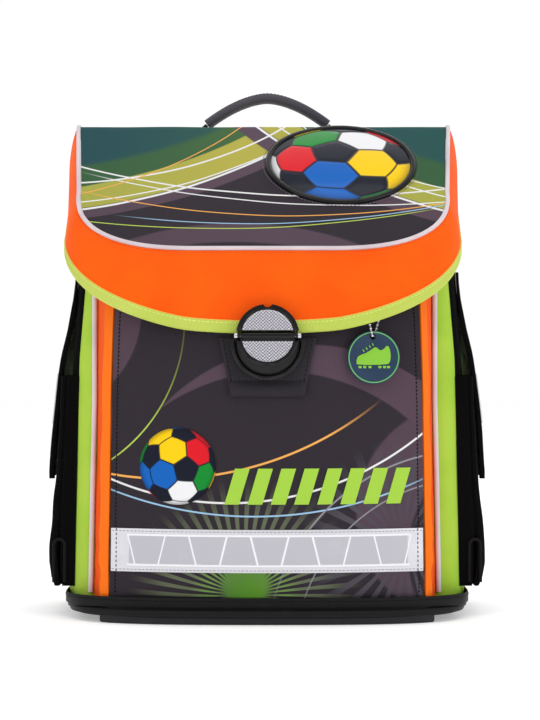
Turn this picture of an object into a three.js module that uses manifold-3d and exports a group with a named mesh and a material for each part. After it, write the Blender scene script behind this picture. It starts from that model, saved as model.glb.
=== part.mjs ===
import * as THREE from 'three';
import { mergeVertices } from 'three/addons/utils/BufferGeometryUtils.js';
import Module from 'manifold-3d';

// School ransel, in millimetres: +X to the right seen from the front, the front faces -Y, +Z up.
// It is drawn with the pocket's face near y = 0 and the feet on z = 0, and centred at the end.

// Cloth and fit
const clearance = 0.35;
const bodyCloth = 2.5;
const pocketCloth = 2;
const pouchCloth = 1.3;
const flapCloth = 2.2;
const pipingDiameter = 3.5;

// Body
const bodyWidth = 303;
const bodyFront = 50;
const bodyBack = 190;
const bodyFloor = 8.4;
const cornerWidth = 20.5;
const cornerDepth = 35;
const cornerPower = 2.2;
const seamShift = -1.8;
const rearCorner = 18;
const rimDrop = 26;

// Lid
const lidWidth = 302;
const lidShift = -3.2;
const lidFrontY = 12;
const lidFrontZ = 284;
const ridgeY = 145;
const lidTopZ = 390.5;
const lidBackZ = 352;
const ridgeRadius = 8;
const backRadius = 12;
const lidCrown = 3;
const lidSag = 10;
const lidFrontWidth = 100;
const lidCornerWidth = 288.8;
const lidCornerDepth = 75;
const skirtOverhang = 20;
const skirtDrop = 64.5;
const skirtFlare = 3;
const skirtBulge = 3;
const skirtSideZ = 288;
const skirtBackZ = 336;
const bindingHeight = 9.5;
const bindingThickness = 4.4;
const bindingProud = 0.95;

// Badge
const badgeWidth = 120;
const badgeLength = 114;
const badgeX = 61.8;
const badgeAlong = 112;
const badgeDome = 4.5;
const badgeBase = 1.2;
const badgeRim = 4.5;
const badgeRimHeight = 2.6;

// Front pocket
const pocketWidth = 237;
const pocketBottom = 17;
const pocketTop = 262;
const pocketBulge = 22;
const pocketTuck = 9.6;
const pocketLean = 8;
const gussetFloor = 8.9;
const gussetFold = 7.5;
const bodyPipingDiameter = 4;
const bandBottom = 39.5;
const bandTop = 72;
const bandWidth = 237;
const bandThickness = 1;

// Lock
const lockX = 0.5;
const lockY = -13;
const lockZ = 217.5;
const lockRadius = 23.6;
const lockHalfDepth = 3.8;
const pinDiameter = 4.2;
const pinLength = 50;
const barrelDiameter = 6.6;
const barrelLength = 41;
const pinClearance = 0.3;
const lugThickness = 1.8;
const reflectorRadius = 19.4;
const reflectorThickness = 1.2;
const reflectorRecess = 1.6;
const reflectorEdge = 4.2;
const lockNotch = 3;
const lugRadius = 3.1;
const cupRadius = 28;
const cupWall = 3.2;
const cupDrop = 5.2;
const cupPlate = 4.2;
const patchWidth = 75.4;
const patchHeight = 63;
const patchDepth = 4;

// Charm
const charmX = 80.2;
const charmZ = 201.5;
const charmFront = 0.7;
const charmDiameter = 40;
const charmThickness = 3.5;
const charmYaw = 6;
const charmHole = 4;
const beadDiameter = 2.2;
const beadPitch = 3.4;
const chainWire = 1;
const tabThickness = 2;
const tabX = 80;

// Base
const baseWidth = 315;
const baseFront = -1;
const baseRim = 20;
const baseWall = 1.6;
const baseLip = 11;
const footHeight = 6.2;

// Side pouches and their flaps
const pouchFront = 58;
const pouchBack = 172;
const pouchBottom = 24;
const pouchTop = 187;
const pouchDepth = 15;
const pleatDepth = 14;
const flapFront = 66;
const flapBack = 168;
const flapTop = 268;
const flapBottom = 107;
const flapStandoff = 16.3;
const stripBottom = 150;
const stripTop = 189;
const stripThickness = 0.8;

// Handle, back pad and shoulder straps
const handleTop = 424.5;
const handleDrop = 22;
const handleSpan = 101;
const handleHeight = 8.5;
const handleDepth = 17;
const handleY = 203;
const handleWebWidth = 24;
const handleWebThickness = 3;
const padWidth = 206;
const padBottom = 30;
const padTop = 326;
const padThickness = 12;
const padCorner = 26;
const strapWidth = 55;
const strapThickness = 7;
const strapTop = 346.5;
const strapBottom = 155;
const strapTopX = 42;
const strapBottomX = 84;
const strapReach = 45.65;
const strapLean = 0.25;
const webbingWidth = 25;
const webbingThickness = 1.8;
const buckleWidth = 34;
const buckleHeight = 26;
const buckleThickness = 4;
const buckleDrop = 19;
const anchorX = 125;
const anchorZ = 36;

const point = (x, y, z) => new THREE.Vector3(x, y, z);
const clamp = THREE.MathUtils.clamp;
const lerp = THREE.MathUtils.lerp;

// Reads a column of a table between its rows.
function lookup(table, key, at, column) {
  if (at <= table[0][key]) return table[0][column];
  for (let i = 1; i < table.length; i++) {
    const low = table[i - 1];
    const high = table[i];
    if (at <= high[key]) return lerp(low[column], high[column], (at - low[key]) / (high[key] - low[key]));
  }
  return table[table.length - 1][column];
}

function steps(from, to, count) {
  return Array.from({ length: count }, (_, i) => lerp(from, to, (i + 1) / count));
}

// Solids from rings, grids and swept sections

function solid(points, triangles) {
  const geometry = new THREE.BufferGeometry();
  geometry.setAttribute('position', new THREE.Float32BufferAttribute(points.flatMap((p) => p.toArray()), 3));
  geometry.setIndex(triangles.flat());
  return outward(geometry);
}

// Turns every triangle round if the body is inside out.
function outward(geometry) {
  const at = geometry.getAttribute('position');
  const index = geometry.getIndex().array;
  const corner = [point(), point(), point()];
  let volume = 0;
  for (let i = 0; i < index.length; i += 3) {
    corner.forEach((c, k) => c.fromBufferAttribute(at, index[i + k]));
    volume += corner[0].dot(corner[1].clone().cross(corner[2]));
  }
  if (volume < 0) {
    for (let i = 0; i < index.length; i += 3) {
      const held = index[i];
      index[i] = index[i + 1];
      index[i + 1] = held;
    }
  }
  return geometry;
}

// Joins rings of equally many points, closed by a fan at each end unless the rings run round.
function stack(rings, looped = false) {
  const count = rings[0].length;
  const points = rings.flat();
  const triangles = [];
  const spans = looped ? rings.length : rings.length - 1;
  for (let r = 0; r < spans; r++) {
    const low = r * count;
    const high = ((r + 1) % rings.length) * count;
    for (let i = 0; i < count; i++) {
      const j = (i + 1) % count;
      triangles.push([low + i, low + j, high + j], [low + i, high + j, high + i]);
    }
  }
  if (!looped) {
    const last = (rings.length - 1) * count;
    const middle = (ring) => ring.reduce((sum, p) => sum.add(p), point()).divideScalar(count);
    points.push(middle(rings[0]), middle(rings[rings.length - 1]));
    for (let i = 0; i < count; i++) {
      const j = (i + 1) % count;
      triangles.push([j, i, points.length - 2], [last + i, last + j, points.length - 1]);
    }
  }
  return solid(points, triangles);
}

// Closes two equal grids of points, outer and inner, along their edges.
function slab(outer, inner) {
  const rows = outer.length;
  const columns = outer[0].length;
  const points = [...outer.flat(), ...inner.flat()];
  const under = rows * columns;
  const triangles = [];
  for (let r = 0; r < rows - 1; r++) {
    for (let c = 0; c < columns - 1; c++) {
      const a = r * columns + c;
      const b = a + columns;
      triangles.push([a, a + 1, b + 1], [a, b + 1, b]);
      triangles.push([under + b + 1, under + a + 1, under + a], [under + b, under + b + 1, under + a]);
    }
  }
  const edge = [];
  for (let c = 0; c < columns - 1; c++) edge.push(c);
  for (let r = 0; r < rows - 1; r++) edge.push(r * columns + columns - 1);
  for (let c = columns - 1; c > 0; c--) edge.push((rows - 1) * columns + c);
  for (let r = rows - 1; r > 0; r--) edge.push(r * columns);
  edge.forEach((a, i) => {
    const b = edge[(i + 1) % edge.length];
    triangles.push([a, under + a, under + b], [a, under + b, b]);
  });
  return solid(points, triangles);
}

// The direction that a grid faces at one of its points: along its columns, crossed with up its rows.
function facing(grid, r, c) {
  const across = grid[r][Math.min(c + 1, grid[r].length - 1)].clone().sub(grid[r][Math.max(c - 1, 0)]);
  const along = grid[Math.min(r + 1, grid.length - 1)][c].clone().sub(grid[Math.max(r - 1, 0)][c]);
  return across.cross(along).normalize();
}

function pushed(grid, distance) {
  return grid.map((row, r) => row.map((p, c) => p.clone().addScaledVector(facing(grid, r, c), distance)));
}

function cloth(grid, thickness) {
  return slab(grid, pushed(grid, -thickness));
}

// Sweeps a section of [side, out] points along stations of { at, out }.
function sweep(stations, section, looped = false) {
  const total = stations.length;
  const rings = stations.map((station, i) => {
    const next = looped ? stations[(i + 1) % total] : stations[Math.min(i + 1, total - 1)];
    const before = looped ? stations[(i + total - 1) % total] : stations[Math.max(i - 1, 0)];
    const along = next.at.clone().sub(before.at).normalize();
    const out = station.out.clone().addScaledVector(along, -station.out.dot(along)).normalize();
    const side = along.clone().cross(out);
    const shape = typeof section === 'function' ? section(i / (total - 1)) : section;
    return shape.map(([a, b]) => station.at.clone().addScaledVector(side, a).addScaledVector(out, b));
  });
  return stack(rings, looped);
}

function roundSection(width, height, sides, power = 2) {
  return Array.from({ length: sides }, (_, i) => {
    const turn = (2 * Math.PI * (i + 0.5)) / sides;
    const grow = (value) => Math.sign(value) * Math.abs(value) ** (2 / power);
    return [(grow(Math.cos(turn)) * width) / 2, (grow(Math.sin(turn)) * height) / 2];
  });
}

function strapSection(width, thickness) {
  const half = width / 2;
  const edge = thickness / 2;
  const soft = Math.min(edge, half) * 0.8;
  const side = [[half - soft, edge], [half, edge - soft], [half, soft - edge], [half - soft, -edge]];
  return [...side, ...side.map(([a, b]) => [-a, b]).reverse()];
}

function mirrored(geometry) {
  return outward(geometry.clone().scale(-1, 1, 1));
}

// Joins and cuts
const wasm = await Module();
wasm.setup();

function toSolid(geometry) {
  const bare = geometry.clone();
  bare.deleteAttribute('normal');
  bare.deleteAttribute('uv');
  const merged = outward(mergeVertices(bare, 1e-4));
  return new wasm.Manifold(new wasm.Mesh({
    numProp: 3,
    vertProperties: new Float32Array(merged.getAttribute('position').array),
    triVerts: new Uint32Array(merged.getIndex().array),
  }));
}

function toGeometry(manifold) {
  const mesh = manifold.getMesh();
  const geometry = new THREE.BufferGeometry();
  geometry.setAttribute('position', new THREE.BufferAttribute(mesh.vertProperties, 3));
  geometry.setIndex(new THREE.BufferAttribute(mesh.triVerts, 1));
  return geometry;
}

// A shape drawn in X and Z, extruded from one y to another.
function frontExtrude(shape, fromY, toY, segments = 14) {
  const geometry = new THREE.ExtrudeGeometry(shape, {
    depth: toY - fromY, bevelEnabled: false, curveSegments: segments,
  });
  return geometry.rotateX(Math.PI / 2).translate(0, toY, 0);
}

function rod(radius, length, x = 0, sides = 16) {
  return new THREE.CylinderGeometry(radius, radius, length, sides).rotateZ(Math.PI / 2).translate(x, 0, 0);
}

function block(fromX, toX, fromY, toY, fromZ, toZ) {
  return new THREE.BoxGeometry(toX - fromX, toY - fromY, toZ - fromZ)
    .translate((fromX + toX) / 2, (fromY + toY) / 2, (fromZ + toZ) / 2);
}

// Scene

const bag = new THREE.Group();

function finish(color, roughness, metalness = 0) {
  return new THREE.MeshStandardMaterial({ color, roughness, metalness });
}

const green = finish(0x9cc93d, 0.8);
const orange = finish(0xfe6604, 0.8);
const lime = finish(0xd0de6e, 0.85);
const printed = finish(0x322c32, 0.75);
const greyPiping = finish(0xe4d4d8, 0.7);
const silver = finish(0xcdccd2, 0.35, 0.2);
const blackCloth = finish(0x1b1a1e, 0.85);
const blackPlastic = finish(0x1b191c, 0.35);
const steel = finish(0xc8c8cc, 0.25, 0.9);
const prism = finish(0xc2c2c6, 0.2, 0.1);
const gloss = finish(0xf0f0f0, 0.15);
const navy = finish(0x304862, 0.4);
const darkPad = finish(0x474447, 0.85);

function add(name, geometry, material, parent = bag) {
  const mesh = new THREE.Mesh(geometry, material);
  mesh.name = name;
  parent.add(mesh);
  return mesh;
}

// Lid form: a side profile, an outline on it, and a lower edge

function filleted(corners, radii) {
  const path = new THREE.Path();
  path.moveTo(...corners[0]);
  for (let i = 1; i < corners.length - 1; i++) {
    const here = new THREE.Vector2(...corners[i]);
    const back = new THREE.Vector2(...corners[i - 1]).sub(here).normalize();
    const on = new THREE.Vector2(...corners[i + 1]).sub(here).normalize();
    const reach = radii[i - 1] / Math.tan(Math.acos(clamp(back.dot(on), -1, 1)) / 2);
    const start = here.clone().addScaledVector(back, reach);
    const end = here.clone().addScaledVector(on, reach);
    path.lineTo(start.x, start.y);
    path.quadraticCurveTo(here.x, here.y, end.x, end.y);
  }
  path.lineTo(...corners[corners.length - 1]);
  return path;
}

const lidBackY = bodyBack + clearance + bodyCloth;
const lidProfile = filleted(
  [[lidFrontY, lidFrontZ], [ridgeY, lidTopZ], [lidBackY, lidTopZ], [lidBackY, lidBackZ]],
  [ridgeRadius, backRadius],
);
const [slopeEnd, ridgeEnd, topEnd, backBend, lidLength] = lidProfile.getCurveLengths();

// A point of the lid's upper surface: x from the lid's middle, along the profile, and how far above.
function lidSurface(x, along, lift = 0) {
  const share = clamp(along / lidLength, 0, 1);
  const at = lidProfile.getPoint(share);
  const tangent = lidProfile.getTangent(share);
  const slope = clamp(1 - along / slopeEnd, 0, 1);
  const across = x / (lidWidth / 2);
  const sag = lidSag * slope ** 2 * across ** 2;
  const crown = lidCrown * (1 - across ** 2) * Math.sin(Math.PI * clamp(along / slopeEnd, 0, 1));
  const raise = crown + lift;
  return point(x, at.x + sag - raise * tangent.y, at.y + raise * tangent.x);
}

function lidHeight(y) {
  const slope = (lidTopZ - lidFrontZ) / (ridgeY - lidFrontY);
  return Math.min(lidTopZ, lidFrontZ + slope * (y - lidFrontY));
}

// Half of the lid's outline from the front's middle to the back, with the lower edge under each point.
function lidStations() {
  const frontHalf = lidFrontWidth / 2;
  const cornerHalf = lidCornerWidth / 2;
  const lowSideX = lidWidth / 2 + skirtFlare;
  const lowSideY = 68;
  const lowFrontY = lidFrontY - skirtOverhang;
  const lowFrontZ = lidFrontZ - skirtDrop;
  const frontRise = 2;
  const frontRound = 1;
  const half = [];
  for (const share of [0, 0.5]) {
    const x = frontHalf * share;
    const low = point(x, lowFrontY + frontRound * share ** 2, lowFrontZ + frontRise * share ** 2);
    half.push({ x, along: 0, low });
  }
  const cornerSteps = 8;
  for (let i = 0; i <= cornerSteps; i++) {
    const turn = (Math.PI / 2) * (1 - i / cornerSteps);
    const wide = Math.max(Math.cos(turn), 0) ** 0.8;
    const deep = 1 - Math.sin(turn) ** 0.8;
    const rise = (1 - Math.sin(turn)) ** 0.835;
    half.push({
      x: lerp(frontHalf, cornerHalf, wide),
      along: lidCornerDepth * deep,
      low: point(
        lerp(frontHalf, lowSideX, wide),
        lerp(lowFrontY + frontRound, lowSideY, deep),
        lerp(lowFrontZ + frontRise, skirtSideZ, rise),
      ),
    });
  }
  const sides = [
    ...steps(lidCornerDepth, slopeEnd, 4), ...steps(slopeEnd, ridgeEnd, 2), ...steps(ridgeEnd, topEnd, 2),
  ];
  for (const along of sides) {
    const widen = clamp((along - lidCornerDepth) / (slopeEnd - lidCornerDepth), 0, 1);
    const share = (along - lidCornerDepth) / (topEnd - lidCornerDepth);
    half.push({
      x: lerp(cornerHalf, lidWidth / 2, widen),
      along,
      low: point(lowSideX, lerp(lowSideY, lidBackY - backRadius, share), lerp(skirtSideZ, skirtBackZ, share)),
    });
  }
  return half;
}

const lidHalf = lidStations();

// The outline moved in over the surface, as [x, along] from the first corner point to the back.
function insetOutline(distance) {
  const first = 2;
  return lidHalf.slice(first).map((station, i) => {
    const before = lidHalf[i + first - 1];
    const next = lidHalf[Math.min(i + first + 1, lidHalf.length - 1)];
    const dx = next.x - before.x;
    const ds = next.along - before.along;
    const size = Math.hypot(dx, ds);
    return [station.x - (distance * ds) / size, station.along + (distance * dx) / size];
  });
}

function bothSides(half, flip) {
  return [...half.slice(1).reverse().map(flip), ...half];
}

const flipPoint = (p) => point(-p.x, p.y, p.z);
const flipStation = ({ at, out }) => ({ at: flipPoint(at), out: flipPoint(out) });
const lidShifted = (geometry) => geometry.translate(lidShift, 0, 0);
const lidPipeRadius = pipingDiameter / 2;

function makeLidPanel() {
  const columns = 10;
  const outline = insetOutline(lidPipeRadius + clearance);
  const backHalf = outline[outline.length - 1][0];
  const overBack = [...steps(topEnd, backBend, 3), lidLength].map((along) => [backHalf, along]);
  const grid = [...outline, ...overBack].map(([x, along]) =>
    Array.from({ length: columns + 1 }, (_, c) => lidSurface(lerp(-x, x, c / columns), along)));
  return lidShifted(cloth(grid, bodyCloth));
}

// Upper edge, lower edge and outward direction of the skirt at each station of the half lid.
function skirtFrames() {
  const upper = lidHalf.map(({ x, along }) => lidSurface(x, along));
  const lower = lidHalf.map(({ low }) => low);
  return upper.map((top, i) => {
    const before = i === 0 ? flipPoint(lower[1]) : lower[i - 1];
    const next = lower[Math.min(i + 1, lower.length - 1)];
    const up = top.clone().sub(lower[i]);
    const out = next.clone().sub(before).cross(up).normalize();
    return { low: lower[i], up: up.clone().normalize(), length: up.length(), out };
  });
}

const skirt = skirtFrames();

function skirtPoint(frame, height, proud = 0) {
  const share = height / frame.length;
  const bulge = skirtBulge * Math.sin(Math.PI * share);
  return frame.low.clone().addScaledVector(frame.up, height).addScaledVector(frame.out, bulge + proud);
}

function skirtGrid(fromLow, fromTop, proud = 0) {
  const rows = 3;
  return Array.from({ length: rows + 1 }, (_, r) => bothSides(
    skirt.map((frame) => skirtPoint(frame, lerp(fromLow, frame.length - fromTop, r / rows), proud)),
    flipPoint,
  ));
}

function makeLidSkirt() {
  const slant = 0.3;
  const grid = skirtGrid(bindingHeight + clearance + slant / 2, lidPipeRadius + clearance + slant);
  return lidShifted(cloth(grid, bodyCloth));
}

function makeLidPiping() {
  const half = lidHalf.map(({ x, along }, i) => ({ at: lidSurface(x, along), out: skirt[i].out }));
  return lidShifted(sweep(bothSides(half, flipStation), roundSection(pipingDiameter, pipingDiameter, 6)));
}

function makeLidBinding(grow = 0) {
  const soft = 1.2;
  const inner = bindingProud - bindingThickness;
  const section = [
    [bindingHeight + grow, bindingProud + grow], [soft - grow, bindingProud + grow], [-grow, grow],
    [-grow, inner + bindingProud - grow], [soft - grow, inner - grow], [bindingHeight + grow, inner - grow],
  ];
  const half = skirt.map((frame) => section.map(([up, proud]) => skirtPoint(frame, up, proud)));
  return lidShifted(stack(bothSides(half, (ring) => ring.map(flipPoint))));
}

add('lid_panel', makeLidPanel(), printed);
add('lid_piping', makeLidPiping(), greyPiping);
add('lid_skirt', makeLidSkirt(), orange);
add('lid_binding', makeLidBinding(), lime);

// Badge: a dome and a rim that follow the lid's slope

function badgePoint(turn, share, lift) {
  const x = badgeX + (badgeWidth / 2) * share * Math.cos(turn);
  const along = badgeAlong + (badgeLength / 2) * share * Math.sin(turn);
  return lidSurface(x, along, clearance + lift);
}

function badgeRing(share, lift) {
  const sides = 28;
  return Array.from({ length: sides }, (_, i) => badgePoint((2 * Math.PI * i) / sides, share, lift));
}

function makeBadge() {
  const edge = 1 - (badgeRim + clearance) / (badgeWidth / 2);
  const dome = [1, 0.97, 0.85, 0.6, 0.3];
  return lidShifted(stack([
    badgeRing(edge * 0.5, 0.05), badgeRing(edge, 0.05),
    ...dome.map((share) => badgeRing(edge * share, badgeBase + badgeDome * (1 - share ** 2.4))),
  ]));
}

function makeBadgeRim() {
  const inner = 1 - badgeRim / (badgeWidth / 2);
  const middle = (1 + inner) / 2;
  return lidShifted(stack([
    badgeRing(1, 0), badgeRing(1, badgeRimHeight * 0.6), badgeRing(middle, badgeRimHeight),
    badgeRing(inner, badgeRimHeight * 0.6), badgeRing(inner, 0),
  ], true));
}

add('ball_badge', makeBadge(), gloss);
add('badge_rim', makeBadgeRim(), blackPlastic);

// Body: sections by share of the front rim's height and of the body's half width

const bodyRim = lidHeight(bodyFront) - rimDrop;
const bodySections = [
  { height: 0, width: 1.02 },
  { height: 0.0414, width: 1.026 },
  { height: 0.36, width: 1.015 },
  { height: 0.684, width: 1 },
  { height: 0.9, width: 0.968 },
  { height: 1, width: 0.962 },
];

function bodyHalf(z) {
  const share = (z - bodyFloor) / (bodyRim - bodyFloor);
  return (bodyWidth / 2) * lookup(bodySections, 'height', share, 'width');
}

// How far the front corner draws the body's side in at y.
function cornerInset(y) {
  const share = clamp((bodyFront + cornerDepth - y) / cornerDepth, 0, 1);
  return cornerWidth * (1 - (1 - share ** cornerPower) ** (1 / cornerPower));
}

// The body's outline in plan, moved in by a wall, with the height given for each y.
function bodyLoop(half, inset, height) {
  const cornerEnd = bodyFront + cornerDepth;
  const right = [[0, bodyFront + inset]];
  for (let i = 0; i <= 6; i++) {
    const turn = (Math.PI / 2) * (1 - i / 6);
    const wide = Math.max(Math.cos(turn), 0) ** (2 / cornerPower);
    const deep = Math.sin(turn) ** (2 / cornerPower);
    right.push([half - cornerWidth + (cornerWidth - inset) * wide, cornerEnd - (cornerDepth - inset) * deep]);
  }
  for (const share of [0.29, 0.69]) {
    right.push([half - inset, lerp(cornerEnd, bodyBack - rearCorner, share)]);
  }
  for (let i = 0; i <= 3; i++) {
    const turn = ((Math.PI / 2) * i) / 3;
    const radius = rearCorner - inset;
    right.push([half - rearCorner + radius * Math.cos(turn), bodyBack - rearCorner + radius * Math.sin(turn)]);
  }
  const left = right.slice(1).reverse().map(([x, y]) => [-x, y]);
  return [...right, [0, bodyBack - inset], ...left].map(([x, y]) => point(x, y, height(y)));
}

function makeBody() {
  const rim = (y) => lidHeight(y) - rimDrop;
  const levels = bodySections.slice(1, -1).map(({ height }) => lerp(bodyFloor, bodyRim, height));
  const ring = (z, inset) => bodyLoop(bodyHalf(z), inset, () => z);
  const floor = bodyFloor + bodyCloth;
  return stack([
    ring(bodyFloor, bodyCloth + 0.5), ...levels.map((z) => ring(z, 0)), bodyLoop(bodyHalf(bodyRim), 0, rim),
    bodyLoop(bodyHalf(bodyRim), bodyCloth, rim),
    ...levels.map((z) => ring(z, bodyCloth)).reverse(), ring(floor, bodyCloth),
  ]);
}

add('main_body', makeBody(), green);

// Front pocket: sections by share of its height, half width and bulge

const pocketSections = [
  { height: 0, width: 1.008, bulge: 0.62 },
  { height: 0.18, width: 1.006, bulge: 1 },
  { height: 0.42, width: 0.9985, bulge: 1 },
  { height: 0.62, width: 0.992, bulge: 0.86 },
  { height: 0.83, width: 0.978, bulge: 0.73 },
  { height: 1, width: 0.965, bulge: 0.73 },
];
const pocketColumns = 10;
const gussetBack = bodyFront - 0.5;
const gussetFrontZ = pocketBottom - pocketCloth - clearance - 0.15;
const pocketShare = (z) => (z - pocketBottom) / (pocketTop - pocketBottom);

function pocketHalf(z) {
  return (pocketWidth / 2) * lookup(pocketSections, 'height', pocketShare(z), 'width');
}

// The y of the pocket's face.
function pocketFace(x, z) {
  const tuckShare = 0.155;
  const leanShare = 0.747;
  const share = pocketShare(z);
  const bulge = pocketBulge * lookup(pocketSections, 'height', share, 'bulge');
  const tuck = pocketTuck * clamp((tuckShare - share) / tuckShare, 0, 1) ** 2;
  const lean = pocketLean * clamp((share - leanShare) / (1 - leanShare), 0, 1) ** 2;
  return bulge * (x / pocketHalf(z)) ** 2 + tuck + lean;
}

function faceGrid(levels, columns, halfAt, proud) {
  return levels.map((z) => Array.from({ length: columns + 1 }, (_, c) => {
    const x = lerp(-1, 1, c / columns) * halfAt(z);
    return point(x, pocketFace(x, z) - proud, z);
  }));
}

function makePocketPanel() {
  const levels = [0, 0.05, 0.1, 0.18, 0.3, 0.42, 0.62, 0.75, 0.83, 0.92, 1]
    .map((share) => lerp(pocketBottom, pocketTop, share));
  return cloth(faceGrid(levels, pocketColumns, pocketHalf, 0), pocketCloth);
}

// The gusset's section at a height on the right side: on the body, at its fold and at the pocket's face.
function sideSection(z, low, front) {
  const half = pocketHalf(z);
  const seam = bodyHalf(z) - cornerWidth - bodyPipingDiameter / 2 - 0.7;
  const edge = half + clearance + pocketCloth * 0.6;
  const face = pocketFace(half, z);
  return [
    point(seam, gussetBack, low), point(half + gussetFold, face + 5, low), point(edge, face + 0.4, front),
  ];
}

// The same under the pocket at x.
function floorSection(x) {
  const face = pocketFace(x, pocketBottom);
  return [
    point(x, gussetBack, gussetFloor), point(x, face + 6, gussetFloor), point(x, face + 0.2, gussetFrontZ),
  ];
}

function makePocketGusset() {
  const low = pocketBottom + 12;
  const top = pocketTop - 2;
  const reach = pocketHalf(pocketBottom) - 8;
  const half = [
    ...[0, 0.4, 0.8].map((share) => floorSection(share * reach)),
    sideSection(pocketBottom, gussetFloor, gussetFrontZ),
    ...[low, ...steps(low, top, 8)].map((z) => sideSection(z, z, z)),
  ];
  const sections = bothSides(half, (section) => section.map(flipPoint));
  const shift = [seamShift, seamShift / 2, 0];
  const grid = shift.map((moved, row) => sections.map((section) => {
    const { x, y, z } = section[row];
    const side = clamp(Math.abs(x) / reach, 0, 1);
    return point(x + moved * side, y, z);
  }));
  return cloth(grid, pocketCloth);
}

function makeBodyPiping() {
  const levels = [pocketTop, ...steps(pocketTop, baseRim + clearance, 7)];
  const stations = levels.map((z) => ({
    at: point(bodyHalf(z) - cornerWidth - 0.5, bodyFront - clearance - bodyPipingDiameter / 2, z),
    out: point(0, -1, 0),
  }));
  return sweep(stations, roundSection(bodyPipingDiameter, bodyPipingDiameter, 8));
}

function makeBand() {
  const levels = [0, 0.25, 0.5, 1].map((share) => lerp(bandBottom, bandTop, share));
  const grid = faceGrid(levels, pocketColumns, () => bandWidth / 2, clearance + bandThickness);
  return slab(grid, faceGrid(levels, pocketColumns, () => bandWidth / 2, clearance));
}

add('pocket_panel', makePocketPanel(), printed);
add('pocket_gusset', makePocketGusset(), orange);
add('body_piping_right', makeBodyPiping().translate(seamShift, 0, 0), greyPiping);
add('body_piping_left', mirrored(makeBodyPiping()).translate(seamShift, 0, 0), greyPiping);
add('reflective_band', makeBand(), silver);

// Lock patch: rows by share of its height, half width and depth before the pocket

const patchSections = [
  { height: 0, width: 0.743, depth: 0.62 },
  { height: 0.04, width: 0.75, depth: 1.2 },
  { height: 0.087, width: 0.757, depth: 1.4 },
  { height: 0.135, width: 0.772, depth: 1.2 },
  { height: 0.175, width: 0.79, depth: 0.9 },
  { height: 0.206, width: 0.8, depth: 1 },
  { height: 0.45, width: 0.883, depth: 1 },
  { height: 0.65, width: 0.952, depth: 1 },
  { height: 0.746, width: 1, depth: 0.66 },
  { height: 0.89, width: 1, depth: 0.66 },
  { height: 1, width: 1, depth: 0.66 },
];
const patchBottom = lockZ - patchHeight * 0.72;

function makePatch() {
  const columns = 6;
  const flatUpTo = 0.7;
  const grid = (surface) => patchSections.map((row) => Array.from({ length: columns + 1 }, (_, c) => {
    const x = lerp(-1, 1, c / columns) * row.width * (patchWidth / 2);
    const z = patchBottom + row.height * patchHeight;
    return point(x + lockX, surface(x, z, row), z);
  }));
  const front = grid((x, z, row) => {
    const flat = row.height < flatUpTo;
    const edge = row.height === 0 || Math.abs(x) > (patchWidth / 2) * row.width - 1 ? 1 : 0;
    return pocketFace(flat ? 0 : x, z) - patchDepth * row.depth + edge;
  });
  return slab(front, grid((x, z) => pocketFace(x + lockX, z) - clearance));
}

add('lock_patch', makePatch(), blackCloth);

// Lock, drawn round its pin: X along the pin, Y backwards, Z up

const lock = new THREE.Group();
lock.position.set(lockX, lockY, lockZ);
bag.add(lock);
const pinRadius = pinDiameter / 2;
const boreRadius = pinRadius + pinClearance;
const leverRadius = lockRadius - 0.2;
const leverTop = barrelDiameter / 2 + 0.1;
const plateBottom = barrelDiameter / 2 + 0.4;

// The part of a disc beyond a chord, below the axis or above it, with a notch at its crown.
function segment(radius, chord, sign, notch = 0) {
  const start = Math.asin(chord / radius);
  const crown = Math.PI / 2;
  const half = Math.asin(notch / radius);
  const arc = (from, to) => [from, ...steps(from, to, 10)]
    .map((turn) => new THREE.Vector2(radius * Math.cos(turn), sign * radius * Math.sin(turn)));
  const left = arc(crown + half, Math.PI - start);
  const middle = notch > 0 ? [new THREE.Vector2(0, sign * (radius - notch * 0.8))] : [];
  return new THREE.Shape([...arc(start, crown - half), ...middle, ...(notch > 0 ? left : left.slice(1))]);
}

function halfDisc(radius, chord, sign, fromY, toY, notch) {
  return toSolid(frontExtrude(segment(radius, chord, sign, notch), fromY, toY));
}

function makeReflector(sign) {
  const front = -lockHalfDepth + reflectorRecess - reflectorThickness - 0.1;
  return frontExtrude(segment(reflectorRadius, reflectorEdge, sign), front, front + reflectorThickness);
}

function reflectorPocket(sign) {
  const radius = reflectorRadius + clearance;
  const floor = -lockHalfDepth + reflectorRecess + 0.2;
  return halfDisc(radius, reflectorEdge - clearance, sign, -lockHalfDepth - 5, floor);
}

function makeLever() {
  const neck = barrelLength / 2;
  const body = halfDisc(leverRadius, leverTop, -1, -lockHalfDepth, lockHalfDepth, lockNotch)
    .add(toSolid(rod(barrelDiameter / 2, barrelLength)))
    .add(toSolid(block(-neck, neck, -2.4, 2.4, -leverTop - 1, -1)))
    .subtract(toSolid(rod(boreRadius, barrelLength * 2)))
    .subtract(reflectorPocket(-1));
  return toGeometry(body);
}

function makeFlapPlate() {
  const depth = 30;
  const lugDepth = lugRadius - 0.2;
  const lugFrom = barrelLength / 2 + 0.3;
  const lugMiddle = lugFrom + lugThickness / 2;
  let body = halfDisc(lockRadius, plateBottom, 1, -lockHalfDepth, depth, lockNotch);
  for (const side of [-1, 1]) {
    const inside = Math.min(side * lugFrom, side * (lugFrom + lugThickness));
    body = body.add(toSolid(rod(lugRadius, lugThickness, side * lugMiddle)))
      .add(toSolid(block(inside, inside + lugThickness, -lugDepth, lugDepth, 0, plateBottom + 3)));
  }
  const behindSkirt = slab(skirtGrid(0, 0, clearance), pushed(skirtGrid(0, 0, clearance), -40));
  const place = (geometry) => toSolid(geometry.translate(-lockX, -lockY, -lockZ));
  body = body.subtract(toSolid(rod(boreRadius, pinLength * 2)))
    .subtract(reflectorPocket(1))
    .subtract(place(lidShifted(behindSkirt)))
    .subtract(place(makeLidBinding(clearance)));
  return toGeometry(body);
}

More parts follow.
